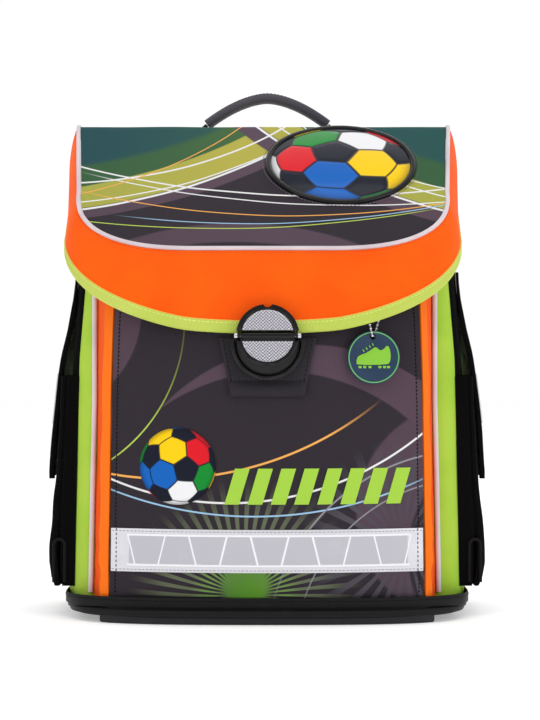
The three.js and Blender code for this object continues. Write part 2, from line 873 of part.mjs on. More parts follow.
function makeLockBase() {
  const plateFrom = lockHalfDepth + 0.6;
  const plateTo = plateFrom + cupPlate;
  const rimFrom = -1;
  const shape = segment(cupRadius, -(cupDrop - pinRadius - 0.6), -1);
  const inside = cupRadius - cupWall;
  const cavity = new THREE.CylinderGeometry(inside, inside, plateFrom - rimFrom + 10, 32)
    .translate(0, plateFrom - (plateFrom - rimFrom + 10) / 2, 0);
  return toGeometry(toSolid(frontExtrude(shape, rimFrom, plateTo)).subtract(toSolid(cavity)))
    .translate(0, 0, -cupDrop);
}

add('lock_base', makeLockBase(), blackPlastic, lock);
add('lock_pin', rod(pinRadius, pinLength, 0, 12), steel, lock);
add('lock_lever', makeLever(), blackPlastic, lock);
add('lock_flap_plate', makeFlapPlate(), blackPlastic, lock);
add('lock_reflector_upper', makeReflector(1), prism, lock);
add('lock_reflector_lower', makeReflector(-1), prism, lock);

// Charm: a disc on a closed ball chain that hangs from a tab behind the lid's edge

function makeCharmDisc() {
  const radius = charmDiameter / 2;
  const shape = new THREE.Shape();
  shape.absarc(0, 0, radius, 0, 2 * Math.PI);
  const hole = new THREE.Path();
  hole.absarc(-0.7, radius - 4.7, charmHole / 2, 0, 2 * Math.PI, true);
  shape.holes.push(hole);
  return frontExtrude(shape, 0, charmThickness, 16);
}

// The chain's route, round from the disc's hole to the tab's and back.
const chainRoute = [
  [79.5, 2.5, 217.4], [78.9, -1.2, 218.2], [77.8, -1.2, 222.6], [76.6, 0.6, 228.5], [75.2, 3.5, 236],
  [77.6, 6.5, 245.2], [80, 6.5, 246.3], [82.4, 6.5, 245.2], [84.8, 6.8, 236], [83, 6.9, 226],
  [80.9, 6.4, 219.5], [80.2, 5.6, 217.6],
].map(([x, y, z]) => point(x, y, z));

function makeChain() {
  const curve = new THREE.CatmullRomCurve3(chainRoute, true);
  const length = curve.getLength();
  const beads = Math.round(length / beadPitch);
  const middle = new THREE.Box3().setFromPoints(chainRoute).getCenter(point());
  const stations = Array.from({ length: beads }, (_, i) => {
    const at = curve.getPointAt(i / beads);
    return { at, out: at.clone().sub(middle) };
  });
  let chain = toSolid(sweep(stations, roundSection(chainWire, chainWire, 5), true));
  for (let i = 0; i < beads; i++) {
    const at = curve.getPointAt(i / beads);
    const bead = new THREE.SphereGeometry(beadDiameter / 2, 10, 4).translate(at.x, at.y, at.z);
    chain = chain.add(toSolid(bead));
  }
  return toGeometry(chain);
}

function makeTab() {
  const low = 234;
  const high = 251;
  const front = 3;
  const back = (z) => pocketFace(charmX, z) - clearance - 0.2;
  const holeRadius = 2.4;
  const shape = new THREE.Shape();
  shape.moveTo(front, low + 6);
  shape.lineTo(back(low), low);
  shape.lineTo(back(high), high);
  shape.lineTo(front + 2.8, high);
  shape.lineTo(front, high - 4.5);
  shape.closePath();
  const hole = new THREE.Path();
  hole.absarc(6.5, chainRoute[6].z + 0.7, holeRadius, 0, 2 * Math.PI, true);
  shape.holes.push(hole);
  const geometry = new THREE.ExtrudeGeometry(shape, {
    depth: tabThickness, bevelEnabled: false, curveSegments: 6,
  });
  return geometry.rotateX(Math.PI / 2).rotateZ(Math.PI / 2).translate(tabX - tabThickness / 2, 0, 0);
}

const charm = add('charm_disc', makeCharmDisc(), navy);
charm.position.set(charmX, charmFront, charmZ);
charm.rotation.z = THREE.MathUtils.degToRad(charmYaw);
add('charm_chain', makeChain(), steel);
add('charm_tab', makeTab(), blackCloth);

// Base tray with its lip and runners

const trayMiddle = 80;

function trayLoop(half, front, back, radius, z) {
  const right = [[0, front]];
  for (let i = 1; i <= 10; i++) {
    const turn = (Math.PI / 2) * (1 - i / 10);
    const x = half * Math.max(Math.cos(turn), 0) ** (2 / 3);
    right.push([x, trayMiddle - (trayMiddle - front) * Math.sin(turn) ** (2 / 3)]);
  }
  for (let i = 0; i <= 3; i++) {
    const turn = ((Math.PI / 2) * i) / 3;
    right.push([half - radius + radius * Math.cos(turn), back - radius + radius * Math.sin(turn)]);
  }
  const left = right.slice(1).reverse().map(([x, y]) => [-x, y]);
  return [...right, [0, back], ...left].map(([x, y]) => point(x, y, z));
}

function makeTray() {
  const half = baseWidth / 2;
  const back = bodyBack + clearance + baseWall;
  const floor = bodyFloor - clearance - 0.05;
  const radius = rearCorner + clearance + baseWall;
  const inset = (distance, z) =>
    trayLoop(half - distance, baseFront + 7 + distance, back - distance, radius - distance, z);
  const lip = (distance, z) =>
    trayLoop(half + 0.5 - distance, baseFront + distance, back + 1 - distance, radius + 1 - distance, z);
  return stack([
    lip(5, footHeight - 1.2), lip(4, footHeight - 0.2), lip(0, footHeight + 0.3), lip(0, footHeight + 3.8),
    lip(1, baseLip), inset(0, baseLip + 1.2), inset(0, baseRim), inset(baseWall, baseRim),
    inset(baseWall, floor + 1), inset(baseWall + 3, floor),
  ]);
}

// A foot under the tray: front(x) gives its front edge, back is straight.
function runner(half, front, back) {
  const soft = 3;
  const loop = (inset, z) => {
    const edge = [-1, -0.95, -0.7, -0.4, 0, 0.4, 0.7, 0.95, 1].map((share) => share * (half - inset));
    const corner = (x) => (Math.abs(x) === half - inset ? soft : 0);
    const near = edge.map((x) => [x, front(x) + inset + corner(x)]);
    const far = edge.map((x) => [x, back - inset - corner(x)]).reverse();
    return [...near, ...far].map(([x, y]) => point(x, y, z));
  };
  return stack([loop(1, 0), loop(0, 1.2), loop(0, footHeight)]);
}

function makeBase() {
  const tray = toSolid(makeTray());
  const lipHalf = baseWidth / 2 + 0.5;
  const lipFront = (x) => trayMiddle - (trayMiddle - baseFront) * (1 - Math.abs(x / lipHalf) ** 3) ** (1 / 3);
  const frontRunner = toSolid(runner(baseWidth * 0.395, (x) => lipFront(x) + 5, baseFront + 38));
  const rearRunner = toSolid(runner(baseWidth * 0.435, () => bodyBack - 40, bodyBack - 12));
  return toGeometry(tray.add(frontRunner).add(rearRunner));
}

add('base_tray', makeBase(), blackPlastic);

// Side pouches: sections by share of height and of depth, with a pleat at the front and the back

const pouchSections = [
  { height: 0, depth: 0.667, pleat: 1 },
  { height: 0.037, depth: 0.867, pleat: 1 },
  { height: 0.11, depth: 1, pleat: 1 },
  { height: 0.19, depth: 1, pleat: 0.8 },
  { height: 0.24, depth: 0.97, pleat: 0.15 },
  { height: 0.35, depth: 0.9, pleat: 0.08 },
  { height: 0.49, depth: 0.753, pleat: 0.08 },
  { height: 0.773, depth: 0.68, pleat: 0.08 },
  { height: 1, depth: 0.627, pleat: 0.08 },
];

// A pouch's outline at a height: along the body's side, round both ends with their pleats, and outside.
function pouchLoop(row, inset) {
  const z = lerp(pouchBottom, pouchTop, row.height);
  const start = bodyHalf(z) + clearance;
  const depth = row.depth * pouchDepth;
  const corner = Math.min(4, depth * 0.25);
  const widen = inset > 0 ? 0.8 : 0;
  const mouth = 0.13 * depth + widen;
  const tip = 0.075 * depth + widen;
  const deep = pleatDepth * row.pleat + inset;
  const home = (y) => [inset - cornerInset(y) * 0.96, y];
  const end = (edge, inwards) => [
    home(edge + inwards * inset), [depth / 2 - mouth, edge + inwards * inset],
    [depth / 2 - tip, edge + inwards * deep], [depth / 2 + tip, edge + inwards * deep],
    [depth / 2 + mouth, edge + inwards * inset], [depth - corner, edge + inwards * inset],
    [depth - inset, edge + inwards * corner],
  ];
  const middle = [0.3, 0.7].map((share) => [depth - inset, lerp(pouchFront, pouchBack, share)]);
  const cornerEnd = bodyFront + cornerDepth;
  const along = [cornerEnd, ...steps(cornerEnd, pouchFront, 5).slice(0, -1)].map(home);
  return [...end(pouchFront, 1), ...middle, ...end(pouchBack, -1).reverse(), ...along]
    .map(([out, y]) => point(start + out, y, z));
}

function makePouch() {
  const floorRow = { ...pouchSections[0], height: pouchCloth / (pouchTop - pouchBottom) };
  return stack([
    ...pouchSections.map((row) => pouchLoop(row, 0)),
    ...pouchSections.slice(1).reverse().map((row) => pouchLoop(row, pouchCloth)),
    pouchLoop(floorRow, pouchCloth),
  ]);
}

// Flaps: stand-off from the body by share of the drop
const flapSections = [
  { drop: 0, out: 0.012 }, { drop: 0.06, out: 0.025 }, { drop: 0.13, out: 0.055 },
  { drop: 0.28, out: 0.28 },
  { drop: 0.379, out: 0.53 }, { drop: 0.478, out: 0.685 }, { drop: 0.621, out: 0.8 }, { drop: 0.77, out: 0.9 },
  { drop: 0.963, out: 1 }, { drop: 1, out: 0.98 },
];

// A point of the flap's outer face: v from the front edge to the back one.
function flapPoint(v, z) {
  const drop = (flapTop - z) / (flapTop - flapBottom);
  const bow = 1 - 0.12 * (2 * v - 1) ** 2;
  const out = flapStandoff * lookup(flapSections, 'drop', drop, 'out') * bow;
  return point(bodyHalf(z) + clearance + flapCloth + out, lerp(flapFront, flapBack, v), z);
}

function flapGrid(levels) {
  const columns = 4;
  return levels.map((z) => Array.from({ length: columns + 1 }, (_, c) => flapPoint(c / columns, z)));
}

function makeFlap() {
  const levels = flapSections.map(({ drop }) => lerp(flapTop, flapBottom, drop)).reverse();
  const outer = flapGrid(levels);
  const inner = outer.map((row) => row.map((p) => point(p.x - flapCloth, p.y, p.z)));
  return slab(outer, inner);
}

function makeStrip() {
  const grid = pushed(flapGrid([stripBottom, ...steps(stripBottom, stripTop, 3)]), clearance);
  return slab(pushed(grid, stripThickness), grid);
}

const sidePieces = [
  [makePouch(), 'side_pouch', blackCloth],
  [makeFlap(), 'side_flap', printed],
  [makeStrip(), 'flap_reflector', silver],
];
for (const [shape, name, material] of sidePieces) {
  add(`${name}_right`, shape, material);
  add(`${name}_left`, mirrored(shape), material);
}

// Carry handle on the back's upper edge

function handleUnderside(x) {
  return handleTop - handleDrop * (Math.abs(x) / (handleSpan / 2)) ** 1.75 - handleHeight;
}

function makeHandle() {
  const count = 12;
  const stations = Array.from({ length: count + 1 }, (_, i) => {
    const x = lerp(-handleSpan / 2, handleSpan / 2, i / count);
    return { at: point(x, handleY, handleUnderside(x) + handleHeight / 2), out: point(0, 0, 1) };
  });
  return sweep(stations, roundSection(handleDepth, handleHeight, 8, 2.6));
}

function makeHandleEnd() {
  const start = handleSpan / 2 + 0.6;
  const top = handleUnderside(start) + handleHeight / 2 - 0.4;
  const backY = lidBackY + clearance + handleWebThickness / 2;
  const stations = [
    { at: point(start, handleY, top), out: point(1, 0, 0.5) },
    { at: point(start + 3.4, handleY - 0.4, top - 4.5), out: point(1, 0.1, 0.2) },
    { at: point(start + 5.8, handleY - 1.4, top - 12), out: point(1, 0.7, 0) },
    { at: point(start + 7, backY + 5.3, top - 20), out: point(0.5, 1, 0) },
    { at: point(start + 7.5, backY + 1.9, top - 28), out: point(0.12, 1, 0) },
    { at: point(start + 7.5, backY + 0.2, top - 35), out: point(0, 1, 0) },
    { at: point(start + 7.5, backY, lidBackZ), out: point(0, 1, 0) },
  ];
  return sweep(stations, (share) => strapSection(
    lerp(handleDepth - 2, handleWebWidth, clamp(share * 1.4, 0, 1)), handleWebThickness));
}

add('carry_handle', makeHandle(), darkPad);
add('handle_end_right', makeHandleEnd(), blackCloth);
add('handle_end_left', mirrored(makeHandleEnd()), blackCloth);

// Back pad and shoulder straps

function makePad() {
  const middleZ = (padBottom + padTop) / 2;
  const loop = (inset, y) => {
    const halfWidth = padWidth / 2 - inset;
    const halfHeight = (padTop - padBottom) / 2 - inset;
    const ring = [];
    for (const [sx, sz, from] of [[1, 1, 0], [-1, 1, 1], [-1, -1, 2], [1, -1, 3]]) {
      for (let i = 0; i <= 3; i++) {
        const turn = ((from + i / 3) * Math.PI) / 2;
        const x = sx * (halfWidth - padCorner) + padCorner * Math.cos(turn);
        const z = sz * (halfHeight - padCorner) + padCorner * Math.sin(turn);
        ring.push(point(x, y, middleZ + z));
      }
    }
    return ring;
  };
  const y = bodyBack + clearance;
  return stack([
    loop(0, y), loop(0, y + padThickness * 0.3), loop(3, y + padThickness * 0.7),
    loop(9, y + padThickness * 0.95), loop(20, y + padThickness),
  ]);
}

// Shoulder strap from its top: shares of the way down, across, and of its reach behind the bag
const strapSections = [
  { down: 0, across: 0, out: 0 }, { down: 0.029, across: 0.001, out: 0.018 },
  { down: 0.068, across: 0.036, out: 0.179 }, { down: 0.128, across: 0.095, out: 0.376 },
  { down: 0.217, across: 0.19, out: 0.617 }, { down: 0.347, across: 0.31, out: 0.825 },
  { down: 0.514, across: 0.476, out: 0.978 }, { down: 0.702, across: 0.667, out: 1 },
  { down: 0.869, across: 0.857, out: 0.912 }, { down: 1, across: 1, out: 0.792 },
];
const strapBack = bodyBack + clearance + strapThickness / 2;
const strapRoute = strapSections.map(({ down, across, out }) => point(
  lerp(strapTopX, strapBottomX, across), strapBack + strapReach * out, lerp(strapTop, strapBottom, down)));
const strapEnd = strapRoute[strapRoute.length - 1];
const buckleAt = point(strapEnd.x + 5, strapEnd.y - 4, strapEnd.z - buckleDrop);

// Webbing from the buckle to its anchor on the bag's back, by the same shares
const webbingSections = [
  { down: 0, across: 0, out: 1 }, { down: 0.209, across: 0.235, out: 0.856 },
  { down: 0.442, across: 0.529, out: 0.6 }, { down: 0.674, across: 0.824, out: 0.28 },
  { down: 0.837, across: 0.971, out: 0.045 }, { down: 1, across: 1, out: 0.003 },
];
const webbingBack = bodyBack + clearance + webbingThickness / 2;
const webbingTop = point(buckleAt.x + 2, buckleAt.y - 3.5, buckleAt.z - buckleHeight / 2 - 1);
const anchorRoute = webbingSections.map(({ down, across, out }) => point(
  lerp(webbingTop.x, anchorX, across),
  lerp(webbingBack, webbingTop.y, out),
  lerp(webbingTop.z, anchorZ, down),
));

// Stations along a route, turned about it by a lean that goes from one value to the other.
function alongCurve(route, count, fromLean, toLean) {
  const curve = new THREE.CatmullRomCurve3(route);
  return Array.from({ length: count + 1 }, (_, i) => {
    const at = curve.getPointAt(i / count);
    const tangent = curve.getTangentAt(i / count);
    return { at, out: point(lerp(fromLean, toLean, i / count), -tangent.z, tangent.y) };
  });
}

function makeStrap() {
  return sweep(alongCurve(strapRoute, 14, 0, strapLean), strapSection(strapWidth, strapThickness));
}

function makeWebbing() {
  return sweep(alongCurve(anchorRoute, 10, strapLean, 0), strapSection(webbingWidth, webbingThickness));
}

function makeBuckle() {
  const shape = new THREE.Shape();
  const half = buckleWidth / 2;
  const tall = buckleHeight / 2;
  const round = 3;
  shape.moveTo(-half + round, -tall);
  shape.lineTo(half - round, -tall);
  shape.quadraticCurveTo(half, -tall, half, -tall + round);
  shape.lineTo(half, tall - round);
  shape.quadraticCurveTo(half, tall, half - round, tall);
  shape.lineTo(-half + round, tall);
  shape.quadraticCurveTo(-half, tall, -half, tall - round);
  shape.lineTo(-half, -tall + round);
  shape.quadraticCurveTo(-half, -tall, -half + round, -tall);
  for (const [from, to] of [[-8.5, -4], [2, 8.5]]) {
    const slot = new THREE.Path();
    slot.moveTo(-webbingWidth / 2 - 1, from);
    slot.lineTo(-webbingWidth / 2 - 1, to);
    slot.lineTo(webbingWidth / 2 + 1, to);
    slot.lineTo(webbingWidth / 2 + 1, from);
    shape.holes.push(slot);
  }
  return frontExtrude(shape, -buckleThickness / 2, buckleThickness / 2, 3);
}

function placeBuckle(name, side) {
  const holder = new THREE.Group();
  holder.position.set(side * buckleAt.x, buckleAt.y, buckleAt.z);
  holder.rotation.set(THREE.MathUtils.degToRad(-22), side * THREE.MathUtils.degToRad(-16), 0);
  bag.add(holder);
  add(name, makeBuckle(), blackPlastic, holder);
}

add('back_pad', makePad(), darkPad);
add('shoulder_strap_right', makeStrap(), darkPad);
add('shoulder_strap_left', mirrored(makeStrap()), darkPad);
add('strap_webbing_right', makeWebbing(), blackCloth);
add('strap_webbing_left', mirrored(makeWebbing()), blackCloth);
placeBuckle('strap_buckle_right', 1);
placeBuckle('strap_buckle_left', -1);

// Centre the part on its base
bag.updateMatrixWorld(true);
const extent = new THREE.Box3().setFromObject(bag, true);
const middle = extent.getCenter(new THREE.Vector3());
bag.position.set(-middle.x, -middle.y, -extent.min.z);
const ransel = new THREE.Group();
ransel.add(bag);

export default ransel;
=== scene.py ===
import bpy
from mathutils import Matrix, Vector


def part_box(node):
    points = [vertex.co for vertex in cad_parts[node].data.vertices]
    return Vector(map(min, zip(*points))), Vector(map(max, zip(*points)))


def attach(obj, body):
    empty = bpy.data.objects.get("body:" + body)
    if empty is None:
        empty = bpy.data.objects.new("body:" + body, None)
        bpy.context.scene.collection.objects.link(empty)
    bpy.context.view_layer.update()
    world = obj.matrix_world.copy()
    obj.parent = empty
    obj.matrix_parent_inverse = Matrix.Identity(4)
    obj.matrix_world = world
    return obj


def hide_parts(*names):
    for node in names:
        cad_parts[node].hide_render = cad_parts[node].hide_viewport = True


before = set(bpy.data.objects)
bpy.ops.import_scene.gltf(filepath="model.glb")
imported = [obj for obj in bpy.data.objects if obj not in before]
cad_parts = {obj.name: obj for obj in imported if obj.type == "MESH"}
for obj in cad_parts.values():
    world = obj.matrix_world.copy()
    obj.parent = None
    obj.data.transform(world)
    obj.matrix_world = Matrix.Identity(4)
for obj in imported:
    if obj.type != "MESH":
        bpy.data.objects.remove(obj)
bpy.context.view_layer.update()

import math

import bmesh
import bpy
import numpy as np
from mathutils import Vector

# School ransel. Sizes are millimetres in the drawing frame: the pocket's face near y = 0, the feet on z = 0.
# place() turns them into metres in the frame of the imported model.
BODY_BACK = 190.0
SHIFT_Y = BODY_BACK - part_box("main_body")[1][1] * 1000

GAP = 0.35
BODY_FRONT = 50.0
BODY_HALF = 151.5
BODY_FLOOR = 8.4
CORNER_WIDTH = 20.5
CORNER_DEPTH = 35.0
CORNER_POWER = 2.2
REAR_CORNER = 18.0
RIM_DROP = 26.0
CLOTH = 2.5

LID_HALF = 151.0
LID_SHIFT = -3.2
LID_FRONT = (12.0, 284.0)
RIDGE_Y = 145.0
LID_TOP = 390.5
LID_BACK_Z = 352.0
LID_BACK_Y = BODY_BACK + GAP + CLOTH
LID_CROWN = 3.0
LID_SAG = 10.0
LID_FRONT_HALF = 50.0
LID_CORNER_HALF = 144.4
LID_CORNER_DEPTH = 75.0
SKIRT_OVERHANG = 20.0
SKIRT_DROP = 64.5
SKIRT_SIDE_Z = 288.0
SKIRT_BACK_Z = 336.0
SKIRT_BULGE = 3.0
BINDING_HEIGHT = 9.5
PIPE_RADIUS = 1.75

POCKET_HALF = 118.5
POCKET_BOTTOM = 17.0
POCKET_TOP = 262.0
POCKET_BULGE = 22.0
POCKET_TUCK = 9.6
POCKET_LEAN = 8.0
SEAM_SHIFT = -1.8
SEAM_UPRIGHT = 168.0
GUSSET_FOLD = 7.5
GUSSET_CREASE = 0.72
GUSSET_FLOOR = 8.9
GUSSET_LIP = 14.5
GUSSET_WIDTH = 28.0

SIDES = ((1, "right"), (-1, "left"))

LOCK = np.array([0.5, -13.0, 217.5])
LOCK_RADIUS = 23.6
LOCK_HALF_DEPTH = 3.8


def place(points):
    points = np.asarray(points, dtype=float)
    moved = points.copy()
    moved[..., 1] -= SHIFT_Y
    return moved / 1000


def srgb(*values):
    """Linear colour of an sRGB colour given from 0 to 255."""
    shares = [value / 255 for value in values]
    return tuple(s / 12.92 if s <= 0.04045 else ((s + 0.055) / 1.055) ** 2.4 for s in shares) + (1.0,)


def unit(vectors):
    return vectors / np.maximum(np.linalg.norm(vectors, axis=-1, keepdims=True), 1e-9)


def turns(sides):
    return 2 * math.pi * np.arange(sides) / sides


def coords(*values):
    """An array of points from their coordinates, which are arrays or single numbers."""
    return np.stack(np.broadcast_arrays(*values), axis=-1).astype(float)


def same_out(count, direction=(0, -1.0, 0)):
    """The same outward direction for each point of a line."""
    return np.repeat([direction], count, 0)


def at_depth(outline, y):
    """An outline of (x, z) points set at one y."""
    outline = np.asarray(outline, dtype=float)
    return coords(outline[:, 0], y, outline[:, 1])


def table_at(table, share, column=1):
    """A column of a table, read between its rows at a share from its first column."""
    return np.interp(share, table[:, 0], table[:, column])


def run_lengths(points):
    """The length along a line from its start to each of its points."""
    return np.concatenate([[0], np.cumsum(np.linalg.norm(np.diff(points, axis=0), axis=1))])


def mirrored_loop(x, y):
    """A closed outline from its right half, which starts and ends on the middle plane."""
    return np.concatenate([x, -x[1:-1][::-1]]), np.concatenate([y, y[1:-1][::-1]])


def smooth_noise(x, y, seed, scale):
    """A soft value between -1 and 1 from a few sines, the same on every run."""
    rng = np.random.default_rng(seed)
    total = np.zeros(np.broadcast(x, y).shape)
    for _ in range(6):
        angle = rng.uniform(0, 2 * math.pi)
        pitch = scale * rng.uniform(0.6, 1.8)
        phase = rng.uniform(0, 2 * math.pi)
        total = total + np.sin((x * math.cos(angle) + y * math.sin(angle)) * 2 * math.pi / pitch + phase)
    return total / 3.2


# Shaders


class Shader:
    """A material with a Principled shader and short calls for its nodes."""

    def __init__(self, name, color, roughness, metallic=0.0, coat=0.0, sheen=0.0, specular=0.5):
        self.material = bpy.data.materials.new(name)
        self.material.use_nodes = True
        self.tree = self.material.node_tree
        self.bsdf = self.tree.nodes["Principled BSDF"]
        constants = {
            "Base Color": color, "Roughness": roughness, "Metallic": metallic, "Coat Weight": coat,
            "Sheen Weight": sheen, "Specular IOR Level": specular,
        }
        for key, value in constants.items():
            self.bsdf.inputs[key].default_value = value

    def put(self, socket, value):
        if isinstance(value, bpy.types.NodeSocket):
            self.tree.links.new(value, socket)
        else:
            socket.default_value = value

    def node(self, kind, inputs=(), **settings):
        node = self.tree.nodes.new(kind)
        for key, value in settings.items():
            setattr(node, key, value)
        for key, value in dict(inputs).items():
            self.put(node.inputs[key], value)
        return node

    def math(self, operation, *values):
        node = self.node("ShaderNodeMath", operation=operation)
        for socket, value in zip(node.inputs, values):
            self.put(socket, value)
        return node.outputs[0]

    def times(self, first, second):
        return self.math("MULTIPLY", first, second)

    def wave(self, value, rate):
        return self.math("SINE", self.times(value, rate))

    def paint(self, color):
        self.put(self.bsdf.inputs["Base Color"], color)

    def painted(self):
        return self.bsdf.inputs["Base Color"].links[0].from_socket

    def rough(self, value):
        self.put(self.bsdf.inputs["Roughness"], value)

    def vector(self, operation, *values):
        node = self.node("ShaderNodeVectorMath", operation=operation)
        for socket, value in zip(node.inputs, values):
            self.put(socket, value)
        return node.outputs["Value" if operation in ("DOT_PRODUCT", "DISTANCE", "LENGTH") else "Vector"]

    def ramp(self, value, low, high, start=0.0, end=1.0):
        node = self.node("ShaderNodeMapRange", interpolation_type="SMOOTHSTEP")
        for index, item in enumerate((value, low, high, start, end)):
            self.put(node.inputs[index], item)
        return node.outputs[0]

    def mix(self, share, first, second):
        node = self.node("ShaderNodeMix", data_type="RGBA")
        self.put(node.inputs[0], share)
        self.put(node.inputs[6], first)
        self.put(node.inputs[7], second)
        return node.outputs[2]

    def colors(self, value, *stops):
        node = self.node("ShaderNodeValToRGB", {"Fac": value})
        elements = node.color_ramp.elements
        while len(elements) < len(stops):
            elements.new(0.5)
        for element, (position, color) in zip(elements, stops):
            element.position = position
            element.color = color
        return node.outputs["Color"]

    def place_mm(self, kind):
        coordinates = self.node("ShaderNodeTexCoord").outputs[kind]
        return self.vector("MULTIPLY", coordinates, (1000, 1000, 1000))

    def object_mm(self):
        return self.place_mm("Object")

    def uv_mm(self):
        return self.place_mm("UV")

    def split(self, vector):
        return self.node("ShaderNodeSeparateXYZ", {0: vector}).outputs

    def noise(self, vector, scale, detail=2.0):
        inputs = {"Vector": vector, "Scale": scale, "Detail": detail}
        return self.node("ShaderNodeTexNoise", inputs).outputs["Fac"]

    def bump(self, height, strength, distance_mm=0.3):
        inputs = {"Height": height, "Strength": strength, "Distance": distance_mm / 1000}
        node = self.node("ShaderNodeBump", inputs)
        self.put(self.bsdf.inputs["Normal"], node.outputs["Normal"])


def weave_height(shader, pitch, by_uv=False):
    """A plain weave: threads over and under at the given pitch in mm."""
    x, y, z = shader.split(shader.uv_mm() if by_uv else shader.object_mm())
    across = x if by_uv else shader.math("ADD", x, y)
    up = y if by_uv else z
    turn = 2 * math.pi / pitch
    return shader.times(shader.wave(across, turn), shader.wave(up, turn))


def scaled(color, share, lift=0.0):
    return tuple(min(1.0, c * share + lift) for c in color[:3]) + (1.0,)


def thread_relief(shader, thread, roughness, fuzz_share, strength):
    """Uneven roughness and the relief of woven threads. roughness is (least, most)."""
    fuzz = shader.noise(shader.object_mm(), 1.6, 2.0)
    shader.rough(shader.ramp(fuzz, 0.2, 0.8, *roughness))
    shader.bump(shader.math("ADD", thread, shader.times(fuzz, fuzz_share)), strength, 0.12)


def cloth_shader(name, color, other=None, roughness=0.72, pitch=0.9, strength=0.35, specular=0.12):
    """Woven cloth with a slow change of colour and slightly uneven threads."""
    shader = Shader(name, color, roughness, sheen=0.02, specular=specular)
    cloud = shader.noise(shader.object_mm(), 0.018, 3.0)
    thread = weave_height(shader, pitch)
    tone = shader.mix(shader.ramp(cloud, 0.35, 0.65), color, other or scaled(color, 0.82))
    shader.paint(shader.mix(shader.ramp(thread, -1, 0.2, 0.35, 0.0), tone, scaled(color, 0.8)))
    thread_relief(shader, thread, (roughness - 0.06, roughness + 0.08), 0.8, strength)
    return shader


def plastic_shader(name, color, roughness=0.35, grain=0.15, specular=0.4, worn=1.6):
    """Moulded plastic with a fine grain and rubbed patches."""
    shader = Shader(name, color, roughness, specular=specular)
    where = shader.object_mm()
    rub = shader.noise(where, 0.06, 4.0)
    shader.paint(shader.mix(shader.ramp(rub, 0.55, 0.8), color, scaled(color, worn, 0.004)))
    shader.rough(shader.ramp(rub, 0.3, 0.75, roughness - 0.05, roughness + 0.1))
    shader.bump(shader.noise(where, 2.2, 2.0), grain, 0.1)
    return shader


CHARCOAL = srgb(50, 44, 51)
MAUVE = srgb(88, 70, 82)
TEAL = srgb(34, 78, 84)
DARK_GREEN = srgb(56, 96, 62)
OLIVE = srgb(172, 172, 76)
WHITE = srgb(240, 240, 240)
PALE_ORANGE = srgb(250, 178, 92)
PALE_BLUE = srgb(163, 204, 236)
LIME_LINE = srgb(190, 214, 92)


def print_shader(name, fields, lines, rays=()):
    """Printed cloth: soft-edged fields, thin arcs and fans of rays, over charcoal, by the UV map in mm.

    A field is (centre, radius, inner centre, inner radius, colour stops across u, softness, strength).
    It lies inside the first circle and outside the second. A line is (centre, radius, width, colour, u
    where it starts, u where it ends). A ray fan is (centre, inner radius, outer radius, count, colour).
    """
    shader = Shader(name, CHARCOAL, 0.66, specular=0.12)
    where = shader.uv_mm()
    u = shader.split(where)[0]
    color = CHARCOAL
    for centre, radius, hole, hole_radius, stops, soft, strength in fields:
        far = shader.vector("DISTANCE", where, (*centre, 0))
        inside = shader.ramp(far, radius - soft, radius, 1.0, 0.0)
        far_hole = shader.vector("DISTANCE", where, (*hole, 0))
        outside = shader.ramp(far_hole, hole_radius, hole_radius + soft, 0.0, 1.0)
        mask = shader.times(shader.times(inside, outside), strength)
        tone = shader.colors(shader.ramp(u, -150, 150), *stops)
        color = shader.mix(mask, color, tone)
    for centre, inner, outer, count, ray_color in rays:
        moved = shader.vector("SUBTRACT", where, (*centre, 0))
        x, y, _ = shader.split(moved)
        turn = shader.math("ARCTAN2", y, x)
        far = shader.vector("LENGTH", moved)
        swirl = shader.math("ADD", shader.times(turn, count), shader.times(far, 0.035))
        stripe = shader.ramp(shader.math("SINE", swirl), 0.05, 0.4)
        near = shader.ramp(far, inner, inner + 22, 0.0, 1.0)
        fade = shader.ramp(far, outer * 0.55, outer, 1.0, 0.0)
        color = shader.mix(shader.times(shader.times(stripe, near), fade), color, ray_color)
    for centre, radius, width, line_color, start, end in lines:
        far = shader.vector("DISTANCE", where, (*centre, 0))
        off = shader.math("ABSOLUTE", shader.math("SUBTRACT", far, radius))
        band = shader.ramp(off, width * 0.35, width * 0.65, 1.0, 0.0)
        fade = shader.times(shader.ramp(u, start, start + 50), shader.ramp(u, end - 50, end, 1.0, 0.0))
        color = shader.mix(shader.times(band, fade), color, line_color)
    thread = weave_height(shader, 0.8, True)
    shader.paint(shader.mix(shader.ramp(thread, -1, 0.3, 0.22, 0.0), color, (0.0, 0.0, 0.0, 1.0)))
    thread_relief(shader, thread, (0.58, 0.74), 0.6, 0.35)
    return shader


GREEN_FADE = ((0.0, TEAL), (0.35, DARK_GREEN), (0.62, OLIVE), (1.0, DARK_GREEN))
TEAL_FADE = ((0.0, TEAL), (0.3, srgb(42, 88, 80)), (0.75, TEAL), (1.0, srgb(36, 84, 82)))
GREEN_BAND = ((0.0, DARK_GREEN), (0.5, srgb(70, 108, 62)), (1.0, DARK_GREEN))
OLIVE_BAND = ((0.0, OLIVE), (0.4, srgb(186, 178, 76)), (1.0, OLIVE))
MAUVE_FADE = ((0.0, MAUVE), (0.5, srgb(92, 74, 88)), (1.0, MAUVE))
FAR_OFF = ((0.0, -9000.0), 10.0)

